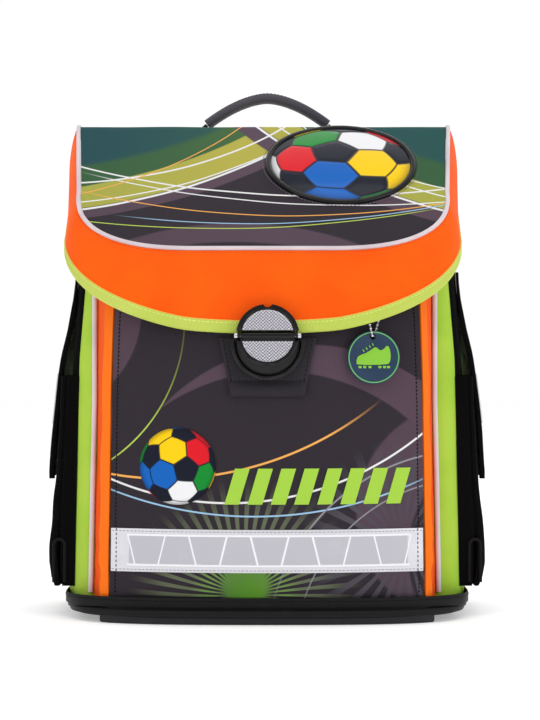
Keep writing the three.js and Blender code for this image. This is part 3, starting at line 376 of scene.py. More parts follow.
LID_PRINT = print_shader(
    "lid_print",
    fields=[
        ((-190, 330), 296, *FAR_OFF, MAUVE_FADE, 2, 1.0),
        ((-190, 330), 282, *FAR_OFF, OLIVE_BAND, 2, 1.0),
        ((-206, 344), 270, *FAR_OFF, GREEN_BAND, 2, 1.0),
        ((-196, 352), 250, *FAR_OFF, TEAL_FADE, 10, 1.0),
        ((250, 330), 318, *FAR_OFF, MAUVE_FADE, 2, 1.0),
        ((250, 330), 300, *FAR_OFF, OLIVE_BAND, 2, 1.0),
        ((258, 338), 284, *FAR_OFF, GREEN_BAND, 2, 1.0),
        ((250, 350), 262, *FAR_OFF, TEAL_FADE, 10, 1.0),
        ((-20, -150), 182, (-20, -190), 196, MAUVE_FADE, 3, 0.9),
    ],
    lines=[
        ((-190, 330), 283, 2.4, WHITE, -210, 200), ((-170, 322), 262, 1.5, WHITE, -210, 200),
        ((-150, 300), 212, 2.0, WHITE, -210, 60), ((250, 330), 301, 2.4, WHITE, -60, 210),
        ((236, 322), 270, 1.6, WHITE, -60, 210), ((40, 470), 404, 1.8, WHITE, -210, 190),
        ((60, 500), 446, 1.3, WHITE, -150, 210), ((20, 420), 380, 1.1, PALE_ORANGE, -160, 190),
        ((-10, 460), 430, 1.0, PALE_BLUE, -120, 200), ((-30, 520), 496, 1.0, LIME_LINE, -200, 150),
        ((190, 250), 176, 1.4, WHITE, -10, 210), ((-220, 300), 240, 1.1, PALE_ORANGE, -210, 60),
    ],
)
POCKET_PRINT = print_shader(
    "pocket_print",
    fields=[
        ((30, 60), 152, (8, 38), 152, MAUVE_FADE, 2, 1.0),
        ((-170, 236), 76, *FAR_OFF, MAUVE_FADE, 2, 0.9),
        ((150, 84), 84, (186, 52), 78, MAUVE_FADE, 3, 0.9),
        ((-16, 30), 22, *FAR_OFF, ((0.0, DARK_GREEN), (0.5, srgb(92, 150, 40)), (1.0, DARK_GREEN)), 8, 1.0),
    ],
    rays=[
        ((-16, 22), 4, 92, 52, srgb(104, 112, 88)),
        ((-16, 22), 10, 46, 52, srgb(118, 158, 78)),
        ((104, 60), 10, 84, 30, srgb(82, 76, 86)),
    ],
    lines=[
        ((-30, 330), 238, 1.5, WHITE, -170, 170), ((-80, 372), 262, 1.6, PALE_ORANGE, -170, 90),
        ((-10, 400), 318, 1.2, PALE_BLUE, -150, 140), ((150, -20), 150, 1.3, srgb(150, 146, 154), -10, 190),
        ((150, -20), 128, 1.0, srgb(150, 146, 154), 0, 190), ((-190, 230), 128, 1.1, LIME_LINE, -150, -50),
    ],
)
FLAP_PRINT = print_shader(
    "flap_print",
    fields=[
        ((-30, 300), 96, (-60, 330), 84, GREEN_FADE, 10, 0.9),
        ((60, 250), 66, *FAR_OFF, MAUVE_FADE, 8, 0.9),
        ((-40, 128), 52, *FAR_OFF, MAUVE_FADE, 8, 0.9),
    ],
    lines=[
        ((-60, 300), 112, 2.0, WHITE, -120, 150), ((-80, 250), 96, 1.6, WHITE, -120, 150),
        ((70, 330), 150, 1.4, LIME_LINE, -120, 150), ((-90, 180), 84, 1.4, PALE_BLUE, -120, 150),
    ],
)

ORANGE = cloth_shader("orange_cloth", srgb(255, 98, 4), srgb(252, 88, 2))
# Painted shade: the gusset's orange is darker than the skirt's. It stands in for the shade on the gusset's
# back half, which faces sideways. A lighter tone is painted on its front half below.
GUSSET_PAINTED_SHADE_AND_LIGHT = cloth_shader("orange_gusset_painted_shade_and_light", srgb(253, 90, 6), srgb(250, 84, 4))
GREEN = cloth_shader("green_cloth", srgb(178, 214, 76), srgb(160, 206, 62))
BLACK_CLOTH = cloth_shader(
    "black_cloth", srgb(9, 9, 10), roughness=0.85, pitch=1.2, strength=0.5, specular=0.05,
)
LINING = cloth_shader("flap_lining", srgb(224, 223, 226), roughness=0.8, pitch=1.0)
PATCH_CLOTH = cloth_shader("patch_cloth", srgb(50, 46, 52), roughness=0.75, pitch=0.8)
PAD_CLOTH = cloth_shader(
    "pad_cloth", srgb(72, 69, 76), srgb(58, 56, 62), roughness=0.85, pitch=2.2, strength=0.8,
)
HANDLE_CLOTH = cloth_shader("handle_cloth", srgb(86, 83, 92), srgb(72, 70, 78), roughness=0.62, pitch=1.0)
WEBBING = cloth_shader("webbing", srgb(38, 37, 40), roughness=0.75, pitch=1.6, strength=0.8)
PIPING = cloth_shader("piping_cloth", srgb(226, 214, 220), srgb(210, 198, 204), roughness=0.6, pitch=0.9)
THREAD_DARK = plastic_shader("dark_thread", srgb(12, 11, 13), 0.7, specular=0.1)
THREAD_GREY = plastic_shader("grey_thread", srgb(120, 116, 124), 0.6)
THREAD_LIME = plastic_shader("lime_thread", srgb(224, 234, 128), 0.6)
BLACK_PLASTIC = plastic_shader("lock_plastic", srgb(11, 10, 12), 0.24, 0.06, specular=0.3)
BASE_PLASTIC = plastic_shader("base_plastic", srgb(15, 15, 17), 0.55, 0.3, specular=0.2)
LIP_PLASTIC = plastic_shader("lip_plastic", srgb(34, 33, 37), 0.45, 0.2, specular=0.25)
THREAD_ORANGE = plastic_shader("orange_thread", srgb(214, 74, 6), 0.6)
STEEL = plastic_shader("plated_steel", srgb(205, 205, 210), 0.22, 0.05)
STEEL.bsdf.inputs["Metallic"].default_value = 1.0
WHITE_PRINT = plastic_shader("white_ink", srgb(243, 243, 248), 0.5, 0.05)
CELL_FILM = plastic_shader("cell_film", srgb(190, 189, 197), 0.35, 0.05, specular=0.3, worn=1.03)
LIME_INK = plastic_shader("lime_ink", srgb(164, 208, 70), 0.5, 0.05, specular=0.15, worn=1.05)
CHARM_BLUE = plastic_shader("charm_vinyl", srgb(36, 58, 84), 0.38, 0.12, specular=0.25, worn=1.2)
CHARM_GREEN = plastic_shader("charm_green", srgb(134, 196, 58), 0.4, 0.08, specular=0.25, worn=1.1)
CHARM_RING = plastic_shader("charm_ring_green", srgb(104, 180, 104), 0.4, 0.08, specular=0.25)
# Painted highlight: a dark grey, lighter than the black pouch cloth, for the light caught by the pleat's
# folded edges.
PLEAT_HIGHLIGHT_CLOTH = cloth_shader("pleat_edge_painted_highlight", srgb(24, 23, 24), roughness=0.8, pitch=1.2)


def grosgrain():
    """Ribbed binding: ribs run across its length, by the UV map in mm, with an orange thread at its top."""
    shader = cloth_shader("lime_binding", srgb(206, 221, 104), srgb(196, 214, 92), roughness=0.7, pitch=0.9)
    along, up, _ = shader.split(shader.uv_mm())
    shader.bump(shader.wave(along, 2 * math.pi / 1.1), 0.6, 0.25)
    shader.paint(shader.mix(shader.ramp(up, 8.2, 8.8), shader.painted(), srgb(240, 196, 84)))
    return shader


def reflective_film():
    """Silver film: fine glass-bead grain and a soft sheen."""
    shader = Shader("reflective_film", srgb(222, 221, 227), 0.34, metallic=0.15, coat=0.15)
    grain = shader.noise(shader.object_mm(), 2.4, 1.0)
    shader.paint(shader.mix(shader.ramp(grain, 0.3, 0.7), srgb(224, 223, 229), srgb(212, 211, 218)))
    shader.bump(grain, 0.15, 0.1)
    return shader


def prism_plastic():
    """Clear moulded reflector over bright cells."""
    shader = Shader("prism_plastic", srgb(202, 202, 206), 0.12, metallic=0.35, coat=0.6)
    where = shader.object_mm()
    x, _, z = shader.split(where)
    pitch = 2 * math.pi / 2.4
    cell = shader.times(shader.wave(x, pitch), shader.wave(z, pitch))
    shader.paint(shader.mix(shader.ramp(cell, -0.5, 0.6), srgb(128, 126, 136), srgb(208, 205, 212)))
    shader.bump(shader.noise(where, 0.9, 2.0), 0.1, 0.1)
    return shader


def paint_light_on_gusset_front(shader, light):
    """Painted light: a lighter tone from the fold of the gusset to the pocket's face, on the half that faces
    the front, by the UV map in mm.
    """
    across = shader.split(shader.uv_mm())[1]
    shader.paint(shader.mix(shader.ramp(across, 19.2, 20.2), shader.painted(), light))


# Painted light on the gusset's front half.
paint_light_on_gusset_front(GUSSET_PAINTED_SHADE_AND_LIGHT, srgb(254, 118, 24))
BINDING = grosgrain()
FILM = reflective_film()
PRISM = prism_plastic()

BALL_RED = srgb(222, 22, 36)
BALL_YELLOW = srgb(250, 206, 8)
BALL_GREEN = srgb(14, 138, 48)
BALL_BLUE = srgb(12, 98, 188)
BALL_WHITE = srgb(238, 238, 240)
BALL_BLACK = srgb(16, 21, 38)
FIVE_DISTANCE = 1.0265


def ball_centres():
    """Panel directions of a 32-panel ball: 12 five-sided ones and 20 six-sided ones, over their distances."""
    golden = (1 + math.sqrt(5)) / 2
    corners = []
    for a in (-1, 1):
        for b in (-golden, golden):
            corners += [(0, a, b), (a, b, 0), (b, 0, a)]
    corners = unit(np.array(corners))
    faces = []
    close = corners @ corners.T > 0.4
    for i in range(12):
        for j in range(i):
            for k in range(j):
                if close[i, j] and close[j, k] and close[i, k]:
                    faces.append(corners[i] + corners[j] + corners[k])
    return corners / FIVE_DISTANCE, unit(np.array(faces))


def ball_shader(name, spin, roughness, coat):
    """A ball of plain coloured panels with dark seams, from the vector attribute 'ball'."""
    shader = Shader(name, BALL_WHITE, roughness, coat=coat, specular=0.15)
    direction = shader.node("ShaderNodeAttribute", attribute_name="ball").outputs["Vector"]
    turn_z, tilt = spin
    cz, sz, ct, st = math.cos(turn_z), math.sin(turn_z), math.cos(tilt), math.sin(tilt)
    about_z = np.array([[cz, -sz, 0], [sz, cz, 0], [0, 0, 1]])
    about_x = np.array([[1, 0, 0], [0, ct, -st], [0, st, ct]])
    matrix = about_z @ about_x
    five, six = ball_centres()
    five, six = five @ matrix.T, six @ matrix.T
    groups = {"five": [c for c in five if c[2] > -0.35]}
    by_height = lambda c: (round(float(c[2]), 3), float(math.atan2(c[1], c[0])))
    palette = ["red", "yellow", "white", "blue", "green"]
    for index, centre in enumerate(sorted((c for c in six if c[2] > -0.3), key=by_height)):
        groups.setdefault(palette[(index * 3) % 5], []).append(centre)
    best = second = None
    group_best = {}
    for key, centres in groups.items():
        top = None
        for centre in centres:
            value = shader.vector("DOT_PRODUCT", direction, tuple(float(c) for c in centre))
            top = value if top is None else shader.math("MAXIMUM", top, value)
            if best is None:
                best, second = value, -2.0
                continue
            second = shader.math("MAXIMUM", second, shader.math("MINIMUM", best, value))
            best = shader.math("MAXIMUM", best, value)
        group_best[key] = top
    color = BALL_WHITE
    tones = {
        "five": BALL_BLACK, "red": BALL_RED, "yellow": BALL_YELLOW, "blue": BALL_BLUE, "green": BALL_GREEN,
    }
    for key, tone in tones.items():
        if key in group_best:
            lead = shader.math("SUBTRACT", group_best[key], best)
            color = shader.mix(shader.ramp(lead, -0.004, 0.0), color, tone)
    seam = shader.math("SUBTRACT", best, second)
    color = shader.mix(shader.ramp(seam, 0.008, 0.022, 0.9, 0.0), color, BALL_BLACK)
    shade = shader.ramp(shader.split(direction)[2], 0.15, 0.6, 0.6, 0.0)
    shader.paint(shader.mix(shade, color, srgb(8, 10, 20)))
    shader.bump(shader.ramp(seam, 0.0, 0.05), 0.5, 0.5)
    return shader


BADGE_BALL = ball_shader("badge_ball", (0.5, 0.35), 0.2, 0.08)
PRINT_BALL = ball_shader("printed_ball", (1.2, -0.3), 0.5, 0.0)


# Meshes


def read_points(mesh):
    points = np.empty(len(mesh.vertices) * 3)
    mesh.vertices.foreach_get("co", points)
    return points.reshape(-1, 3)


def write_points(mesh, points):
    mesh.vertices.foreach_set("co", np.asarray(points).ravel())


def shade_smooth(mesh, sharp=None):
    """Smooth faces, with hard edges from an angle in degrees."""
    mesh.polygons.foreach_set("use_smooth", [True] * len(mesh.polygons))
    if sharp is not None:
        mesh.set_sharp_from_angle(angle=math.radians(sharp))


def select_only(*pieces):
    bpy.ops.object.select_all(action="DESELECT")
    for piece in pieces:
        piece.select_set(True)
    bpy.context.view_layer.objects.active = pieces[0]


def make_object(name, points, faces, shader, uv=None, attribute=None, sharp=38.0, body="bag"):
    mesh = bpy.data.meshes.new(name)
    mesh.from_pydata(place(points).tolist(), [], [list(map(int, face)) for face in faces])
    mesh.materials.append(shader.material)
    solid = bmesh.new()
    solid.from_mesh(mesh)
    bmesh.ops.recalc_face_normals(solid, faces=solid.faces)
    solid.to_mesh(mesh)
    solid.free()
    shade_smooth(mesh, sharp)
    if uv is not None:
        layer = mesh.uv_layers.new(name="UVMap")
        index = np.empty(len(mesh.loops), dtype=int)
        mesh.loops.foreach_get("vertex_index", index)
        layer.data.foreach_set("uv", (np.asarray(uv, dtype=float).reshape(-1, 2)[index] / 1000).ravel())
    if attribute is not None:
        key, values = attribute
        held = mesh.attributes.new(key, "FLOAT_VECTOR", "POINT")
        held.data.foreach_set("vector", np.asarray(values, dtype=float).ravel())
    piece = bpy.data.objects.new(name, mesh)
    bpy.context.scene.collection.objects.link(piece)
    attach(piece, body)
    return piece


def stack_faces(rings, count, looped=False):
    faces = []
    spans = rings if looped else rings - 1
    for r in range(spans):
        low = r * count
        high = ((r + 1) % rings) * count
        for i in range(count):
            j = (i + 1) % count
            faces.append((low + i, low + j, high + j, high + i))
    if not looped:
        faces.append(tuple(range(count))[::-1])
        faces.append(tuple((rings - 1) * count + i for i in range(count)))
    return faces


def shifted_faces(base, rings, count):
    """The faces of one of many small closed forms, whose points start at base."""
    return [tuple(base + v for v in face) for face in stack_faces(rings, count)]


def stack(name, rings, shader, looped=False, **extra):
    """A closed body from an array of rings, (rings, points, 3)."""
    rings = np.asarray(rings, dtype=float)
    faces = stack_faces(rings.shape[0], rings.shape[1], looped)
    return make_object(name, rings.reshape(-1, 3), faces, shader, **extra)


def grid_facing(grid):
    return unit(np.cross(np.gradient(grid, axis=1), np.gradient(grid, axis=0)))


def slab_faces(rows, columns):
    under = rows * columns
    faces = []
    for r in range(rows - 1):
        for c in range(columns - 1):
            a = r * columns + c
            b = a + columns
            faces.append((a, a + 1, b + 1, b))
            faces.append((under + b, under + b + 1, under + a + 1, under + a))
    edge = list(range(columns - 1)) + [r * columns + columns - 1 for r in range(rows - 1)]
    edge += [(rows - 1) * columns + c for c in range(columns - 1, 0, -1)]
    edge += [r * columns for r in range(rows - 1, 0, -1)]
    for i, a in enumerate(edge):
        b = edge[(i + 1) % len(edge)]
        faces.append((a, under + a, under + b, b))
    return faces


def slab(name, outer, inner, shader, uv=None, **extra):
    outer, inner = np.asarray(outer, dtype=float), np.asarray(inner, dtype=float)
    rows, columns, _ = outer.shape
    points = np.concatenate([outer.reshape(-1, 3), inner.reshape(-1, 3)])
    doubled = None if uv is None else np.concatenate([np.asarray(uv).reshape(-1, 2)] * 2)
    return make_object(name, points, slab_faces(rows, columns), shader, uv=doubled, **extra)


def cloth(name, grid, thickness, shader, uv=None, **extra):
    return slab(name, grid, grid - grid_facing(grid) * thickness, shader, uv=uv, **extra)


def frames_along(points, outs, looped=False):
    """Unit directions along, out of and beside a path."""
    points, outs = np.asarray(points, dtype=float), np.asarray(outs, dtype=float)
    if looped:
        along = unit(np.roll(points, -1, axis=0) - np.roll(points, 1, axis=0))
    else:
        along = unit(np.gradient(points, axis=0))
    outs = unit(outs - along * np.sum(outs * along, axis=1, keepdims=True))
    return along, outs, np.cross(along, outs)


def sweep(name, points, outs, section, shader, looped=False, **extra):
    points = np.asarray(points, dtype=float)
    _, out, side = frames_along(points, outs, looped)
    total = len(points)
    rings = []
    for i in range(total):
        shape = section(i / (total - 1)) if callable(section) else section
        shape = np.asarray(shape, dtype=float)
        rings.append(points[i] + shape[:, :1] * side[i] + shape[:, 1:] * out[i])
    return stack(name, rings, shader, looped, **extra)


def round_section(width, height, sides=12, power=2.0):
    turn = 2 * math.pi * (np.arange(sides) + 0.5) / sides
    grow = lambda value: np.sign(value) * np.abs(value) ** (2 / power)
    return coords(grow(np.cos(turn)) * width / 2, grow(np.sin(turn)) * height / 2)


def ball_directions(shares, sides, reach):
    """Where rings of a flat disc lie on a half ball, as its vector attribute. reach is the rim's share."""
    turn = turns(sides)
    directions = []
    for share in shares:
        bent = math.asin(share * reach)
        wide = math.sin(bent)
        directions.append(coords(np.cos(turn) * wide, np.sin(turn) * wide, math.cos(bent)))
    return "ball", np.array(directions).reshape(-1, 3)


def strap_section(width, thickness, crown=0.0):
    """A flat strap with round edges and a crowned face."""
    half, edge = width / 2, thickness / 2
    across = np.linspace(-1, 1, 17)
    rise = edge * (1 - np.abs(across) ** 10) + crown * (1 - across**2)
    top = coords(across * half, rise)
    under = coords(across[::-1] * half, -edge * (1 - np.abs(across[::-1]) ** 10))
    return np.concatenate([top[1:-1], [[half, 0]], under[1:-1], [[-half, 0]]])


def curve_through(points, count):
    """A smooth curve through chosen points, evenly spaced."""
    points = np.asarray(points, dtype=float)
    padded = np.vstack([2 * points[0] - points[1], points, 2 * points[-1] - points[-2]])
    dense = []
    for i in range(1, len(padded) - 2):
        p0, p1, p2, p3 = padded[i - 1 : i + 3]
        for t in np.linspace(0, 1, 24, endpoint=False):
            second = (2 * p0 - 5 * p1 + 4 * p2 - p3) * t**2
            dense.append(0.5 * (2 * p1 + (p2 - p0) * t + second + (3 * p1 - p0 - 3 * p2 + p3) * t**3))
    dense.append(points[-1])
    return resample(np.array(dense), count)


def resample(points, count):
    far = run_lengths(points)
    at = np.linspace(0, far[-1], count)
    return coords(*(np.interp(at, far, points[:, k]) for k in range(3)))


def path_length(points):
    return float(np.sum(np.linalg.norm(np.diff(points, axis=0), axis=1)))


def stitches(name, paths, shader, pitch=3.2, length=2.3, width=0.75):
    """Rows of separate stitches: each path is (points, outward directions)."""
    points, faces = [], []
    profile = ((-0.5, 0.35), (-0.36, 0.85), (0.0, 1.0), (0.36, 0.85), (0.5, 0.35))
    proud, sides = 0.12, 6
    turn = turns(sides)
    for path, outs in paths:
        count = max(2, int(path_length(path) / pitch))
        centres = resample(np.asarray(path), count)
        joined = resample(np.asarray(outs), count)
        along, out, side = frames_along(centres, joined)
        for i in range(count):
            base = len(points)
            for at, radius in profile:
                middle = centres[i] + along[i] * at * length + out[i] * (proud - 0.25 * abs(at) * width)
                for angle in turn:
                    offset = side[i] * math.cos(angle) * width / 2 + out[i] * math.sin(angle) * width * 0.32
                    points.append(middle + offset * radius)
            faces += shifted_faces(base, len(profile), sides)
    return make_object(name, points, faces, shader, sharp=80)


def soften(piece, width_mm):
    """Rounds the hard edges of a piece."""
    bevel = piece.modifiers.new("soft_edges", "BEVEL")
    bevel.width = width_mm / 1000
    bevel.segments = 2
    bevel.limit_method = "ANGLE"
    bevel.angle_limit = math.radians(35)
    bevel.harden_normals = False
    select_only(piece)
    bpy.ops.object.modifier_apply(modifier=bevel.name)
    shade_smooth(piece.data, 40)
    return piece


def join(name, pieces):
    """One piece from several, with their materials."""
    select_only(*pieces)
    bpy.ops.object.join()
    joined = bpy.context.view_layer.objects.active
    joined.name = name
    joined.data.name = name
    return joined


def stands_for(piece, slot, *nodes):
    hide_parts(*nodes)
    return piece


def both_sides(half):
    flipped = half[1:][::-1] * np.array([-1, 1, 1])
    return np.concatenate([flipped, half])


# Lid


def filleted(corners, radii):
    """The side profile as a dense line, with the length at the end of each stretch."""
    points = [np.array(corners[0])]
    marks = []
    for i in range(1, len(corners) - 1):
        here = np.array(corners[i])
        back = unit(np.array(corners[i - 1]) - here)
        ahead = unit(np.array(corners[i + 1]) - here)
        reach = radii[i - 1] / math.tan(math.acos(float(back @ ahead)) / 2)
        start, end = here + back * reach, here + ahead * reach
        points.append(start)
        marks.append(len(points) - 1)
        for t in np.linspace(0, 1, 13)[1:]:
            points.append((1 - t) ** 2 * start + 2 * t * (1 - t) * here + t**2 * end)
        marks.append(len(points) - 1)
    points.append(np.array(corners[-1]))
    points = np.array(points)
    far = run_lengths(points)
    return points, far, [far[m] for m in marks]


PROFILE, PROFILE_FAR, (SLOPE_END, _, TOP_END, BACK_BEND) = filleted(
    [LID_FRONT, (RIDGE_Y, LID_TOP), (LID_BACK_Y, LID_TOP), (LID_BACK_Y, LID_BACK_Z)], [8.0, 12.0]
)
LID_LENGTH = PROFILE_FAR[-1]


def lid_surface(x, along, lift=0.0):
    x, along = np.broadcast_arrays(np.asarray(x, dtype=float), np.asarray(along, dtype=float))
    step = 0.4
    at = np.clip(along, 0, LID_LENGTH)
    y, z = (np.interp(at, PROFILE_FAR, PROFILE[:, k]) for k in (0, 1))
    ahead, behind = np.clip(at + step, 0, LID_LENGTH), np.clip(at - step, 0, LID_LENGTH)
    ty, tz = (
        (np.interp(ahead, PROFILE_FAR, PROFILE[:, k]) - np.interp(behind, PROFILE_FAR, PROFILE[:, k]))
        / (ahead - behind)
        for k in (0, 1)
    )
    across = x / LID_HALF
    sag = LID_SAG * np.clip(1 - at / SLOPE_END, 0, 1) ** 2 * across**2
    crown = LID_CROWN * (1 - across**2) * np.sin(math.pi * np.clip(at / SLOPE_END, 0, 1))
    raised = crown + lift
    return coords(x + LID_SHIFT, y + sag - raised * tz, z + raised * ty)


def lid_height(y):
    slope = (LID_TOP - LID_FRONT[1]) / (RIDGE_Y - LID_FRONT[0])
    return np.minimum(LID_TOP, LID_FRONT[1] + slope * (np.asarray(y) - LID_FRONT[0]))


def lid_stations():
    """Half of the lid's outline, from the front's middle to the back: x, along, and the lower edge."""
    front, corner, side = 10, 34, 34
    low_side_x, low_side_y = LID_HALF + 3.0, 68.0
    low_y, low_z = LID_FRONT[0] - SKIRT_OVERHANG, LID_FRONT[1] - SKIRT_DROP
    share = np.linspace(0, 1, front, endpoint=False)
    x = [LID_FRONT_HALF * share]
    along = [np.zeros(front)]
    low = [coords(LID_FRONT_HALF * share, low_y + share**2, low_z + 2 * share**2)]
    turn = np.linspace(math.pi / 2, 0, corner)
    wide = np.maximum(np.cos(turn), 0) ** 0.8
    deep = 1 - np.maximum(np.sin(turn), 0) ** 0.8
    rest = 1 - np.sin(turn)
    rise = rest ** (0.6 + 0.235 * np.sqrt(rest))
    x.append(LID_FRONT_HALF + (LID_CORNER_HALF - LID_FRONT_HALF) * wide)
    along.append(LID_CORNER_DEPTH * deep)
    low.append(coords(
        LID_FRONT_HALF + (low_side_x - LID_FRONT_HALF) * wide,
        low_y + 1 + (low_side_y - low_y - 1) * deep,
        low_z + 2 + (SKIRT_SIDE_Z - low_z - 2) * rise,
    ))
    sides = np.linspace(LID_CORNER_DEPTH, TOP_END, side)[1:]
    share = (sides - LID_CORNER_DEPTH) / (TOP_END - LID_CORNER_DEPTH)
    widen = np.clip((sides - LID_CORNER_DEPTH) / (SLOPE_END - LID_CORNER_DEPTH), 0, 1)
    x.append(LID_CORNER_HALF + (LID_HALF - LID_CORNER_HALF) * widen)
    along.append(sides)
    low_side_back = LID_BACK_Y - 12
    low.append(coords(
        low_side_x, low_side_y + (low_side_back - low_side_y) * share,
        SKIRT_SIDE_Z + (SKIRT_BACK_Z - SKIRT_SIDE_Z) * share,
    ))
    return np.concatenate(x), np.concatenate(along), np.concatenate(low)


LID_X, LID_ALONG, LID_LOW = lid_stations()
LID_SHIFTS = np.array([LID_SHIFT, 0, 0])


def lid_both(half):
    """Both halves of a line that is drawn round the lid's own middle."""
    return both_sides(half) + LID_SHIFTS


UPPER_HALF = lid_surface(LID_X, LID_ALONG) - LID_SHIFTS
SKIRT_UP = UPPER_HALF - LID_LOW
SKIRT_LENGTH = np.linalg.norm(SKIRT_UP, axis=1)
_low_all = np.concatenate([[LID_LOW[1] * [-1, 1, 1]], LID_LOW])
_low_step = np.concatenate([_low_all[2:] - _low_all[:-2], [LID_LOW[-1] - LID_LOW[-2]]])
SKIRT_OUT = unit(np.cross(_low_step, SKIRT_UP))


def skirt_point(height, proud=0.0):
    height = np.asarray(height, dtype=float)
    far = np.clip((LID_ALONG - LID_CORNER_DEPTH) / (SLOPE_END - LID_CORNER_DEPTH), 0, 1)
    swell = np.clip(np.sin(math.pi * height / SKIRT_LENGTH), 0, 1) ** (1 - 0.4 * far)
    bulge = (SKIRT_BULGE + 3.4 * far) * swell
    return LID_LOW + unit(SKIRT_UP) * height[:, None] + SKIRT_OUT * (bulge + proud)[:, None]


def inset_outline(distance):
    first = int(np.argmax(LID_X >= LID_FRONT_HALF))
    dx = np.gradient(LID_X)[first:]
    ds = np.gradient(LID_ALONG)[first:]
    size = np.hypot(dx, ds)
    return LID_X[first:] - distance * ds / size, LID_ALONG[first:] + distance * dx / size


def make_lid_panel():
    x, along = inset_outline(PIPE_RADIUS + 0.1)
    back = np.concatenate([np.linspace(TOP_END, BACK_BEND, 8)[1:], np.linspace(BACK_BEND, LID_LENGTH, 5)[1:]])
    x = np.concatenate([x, np.full(len(back), x[-1])])
    along = np.concatenate([along, back])
    share = np.linspace(-1, 1, 61)
    xs = share[None, :] * x[:, None]
    alongs = np.repeat(along[:, None], len(share), 1)
    rumple = 0.25 * smooth_noise(xs, alongs, 3, 90) * np.clip(1 - share[None, :] ** 2, 0, 1)
    grid = lid_surface(xs, alongs, rumple)
    piece = cloth("lid_top", grid, CLOTH, LID_PRINT, uv=coords(xs, alongs))
    return stands_for(piece, "printed_fabric", "lid_panel")


def make_lid_edges():
    path = lid_both(UPPER_HALF)
    outs = both_sides(SKIRT_OUT)
    piping = sweep("lid_pipe", path, outs, round_section(PIPE_RADIUS * 2, PIPE_RADIUS * 2, 12), PIPING)
    stands_for(piping, "grey_piping", "lid_piping")
    low, top = BINDING_HEIGHT - 1.0, PIPE_RADIUS + 0.2
    grid, uv = [], []
    run = run_lengths(lid_both(LID_LOW))
    for share in np.linspace(0, 1, 22):
        height = low + (SKIRT_LENGTH - top - low) * share
        wave = 0.35 * smooth_noise(np.arange(len(height)) * 5.0, height, 5, 120)
        grid.append(lid_both(skirt_point(height, wave * math.sin(math.pi * share))))
        uv.append(coords(run, share * 60))
    skirt = cloth("lid_skirt_cloth", np.array(grid), CLOTH, ORANGE, uv=np.array(uv))
    stands_for(skirt, "orange_fabric", "lid_skirt")
    inner = 0.95 - 4.4
    section = [
        (BINDING_HEIGHT, 0.2), (BINDING_HEIGHT - 0.3, 0.85), (BINDING_HEIGHT - 1.2, 1.0), (6.0, 0.95),
        (3.4, 1.0), (1.8, 0.85), (0.7, 0.35), (0.1, -0.5), (0.0, -1.3), (0.3, inner + 0.9), (1.2, inner),
        (BINDING_HEIGHT, inner),
    ]
    rings = [lid_both(skirt_point(np.full(len(LID_X), up), proud)) for up, proud in section]
    uvs = [coords(run, up) for up, _ in section]
    rings, uvs = (np.transpose(np.array(rows), (1, 0, 2)) for rows in (rings, uvs))
    binding = stack("lid_bound_edge", rings, BINDING, uv=uvs)
    stands_for(binding, "lime_binding", "lid_binding")
    seam = lid_both(skirt_point(np.full(len(LID_X), 7.0), 1.0))
    stitches("binding_stitches", [(seam, outs)], THREAD_LIME, pitch=3.4, length=2.4)
    under_pipe = lid_both(skirt_point(SKIRT_LENGTH - PIPE_RADIUS - 1.8, 0.0))
    stitches("skirt_stitches", [(under_pipe, outs)], THREAD_ORANGE, pitch=3.4, length=2.2, width=0.5)


BADGE_X, BADGE_ALONG = 61.8, 112.0
BADGE_HALF = (60.0, 57.0)


def badge_ring(share, lift, sides=96):
    turn = turns(sides)
    x = BADGE_X + BADGE_HALF[0] * share * np.cos(turn)
    along = BADGE_ALONG + BADGE_HALF[1] * share * np.sin(turn)
    return lid_surface(x, along, GAP + lift)


def make_badge():
    edge = 1 - 4.7 / BADGE_HALF[0]
    shares = np.array([1.0, 1.0, 0.985, 0.96, 0.92, 0.86, 0.78, 0.68, 0.56, 0.42, 0.28, 0.14, 0.04])
    lifts = np.concatenate([[0.05], 1.2 + 4.5 * (1 - shares[1:] ** 2.4)])
    rings = [badge_ring(edge * share, lift) for share, lift in zip(shares, lifts)]
    attribute = ball_directions(shares, 96, 0.97)
    badge = stack("badge_dome", rings, BADGE_BALL, attribute=attribute, sharp=70)
    stands_for(badge, "badge_gloss", "ball_badge")
    inner = 1 - 4.5 / BADGE_HALF[0]
    section = [
        (1.0, 0.0), (1.0, 1.2), (0.992, 1.9), (0.975, 2.4), (0.962, 2.6), (0.948, 2.4), (0.932, 1.9),
        (inner, 1.2), (inner, 0.0),
    ]
    rings = [badge_ring(share, lift) for share, lift in section]
    rim = stack("badge_edge", rings, BLACK_PLASTIC, looped=True, sharp=60)
    stands_for(rim, "black_plastic", "badge_rim")
    ring = badge_ring(1.035, 0.0, 120)
    around = np.vstack([ring, ring[:1]])
    outs = same_out(len(around), (0, -0.62, 0.78))
    stitches("badge_stitches", [(around, outs)], THREAD_GREY, pitch=3.0, length=2.0, width=0.6)


make_lid_panel()
make_lid_edges()
make_badge()


# Body

BODY_TABLE = np.array([(0, 1.02), (0.0414, 1.026), (0.36, 1.015), (0.684, 1), (0.9, 0.968), (1, 0.962)])
BODY_RIM = float(lid_height(BODY_FRONT)) - RIM_DROP


def body_half(z):
    share = (np.asarray(z, dtype=float) - BODY_FLOOR) / (BODY_RIM - BODY_FLOOR)
    return BODY_HALF * table_at(BODY_TABLE, share)


def corner_curve(values):
    return np.maximum(values, 0) ** (2 / CORNER_POWER)


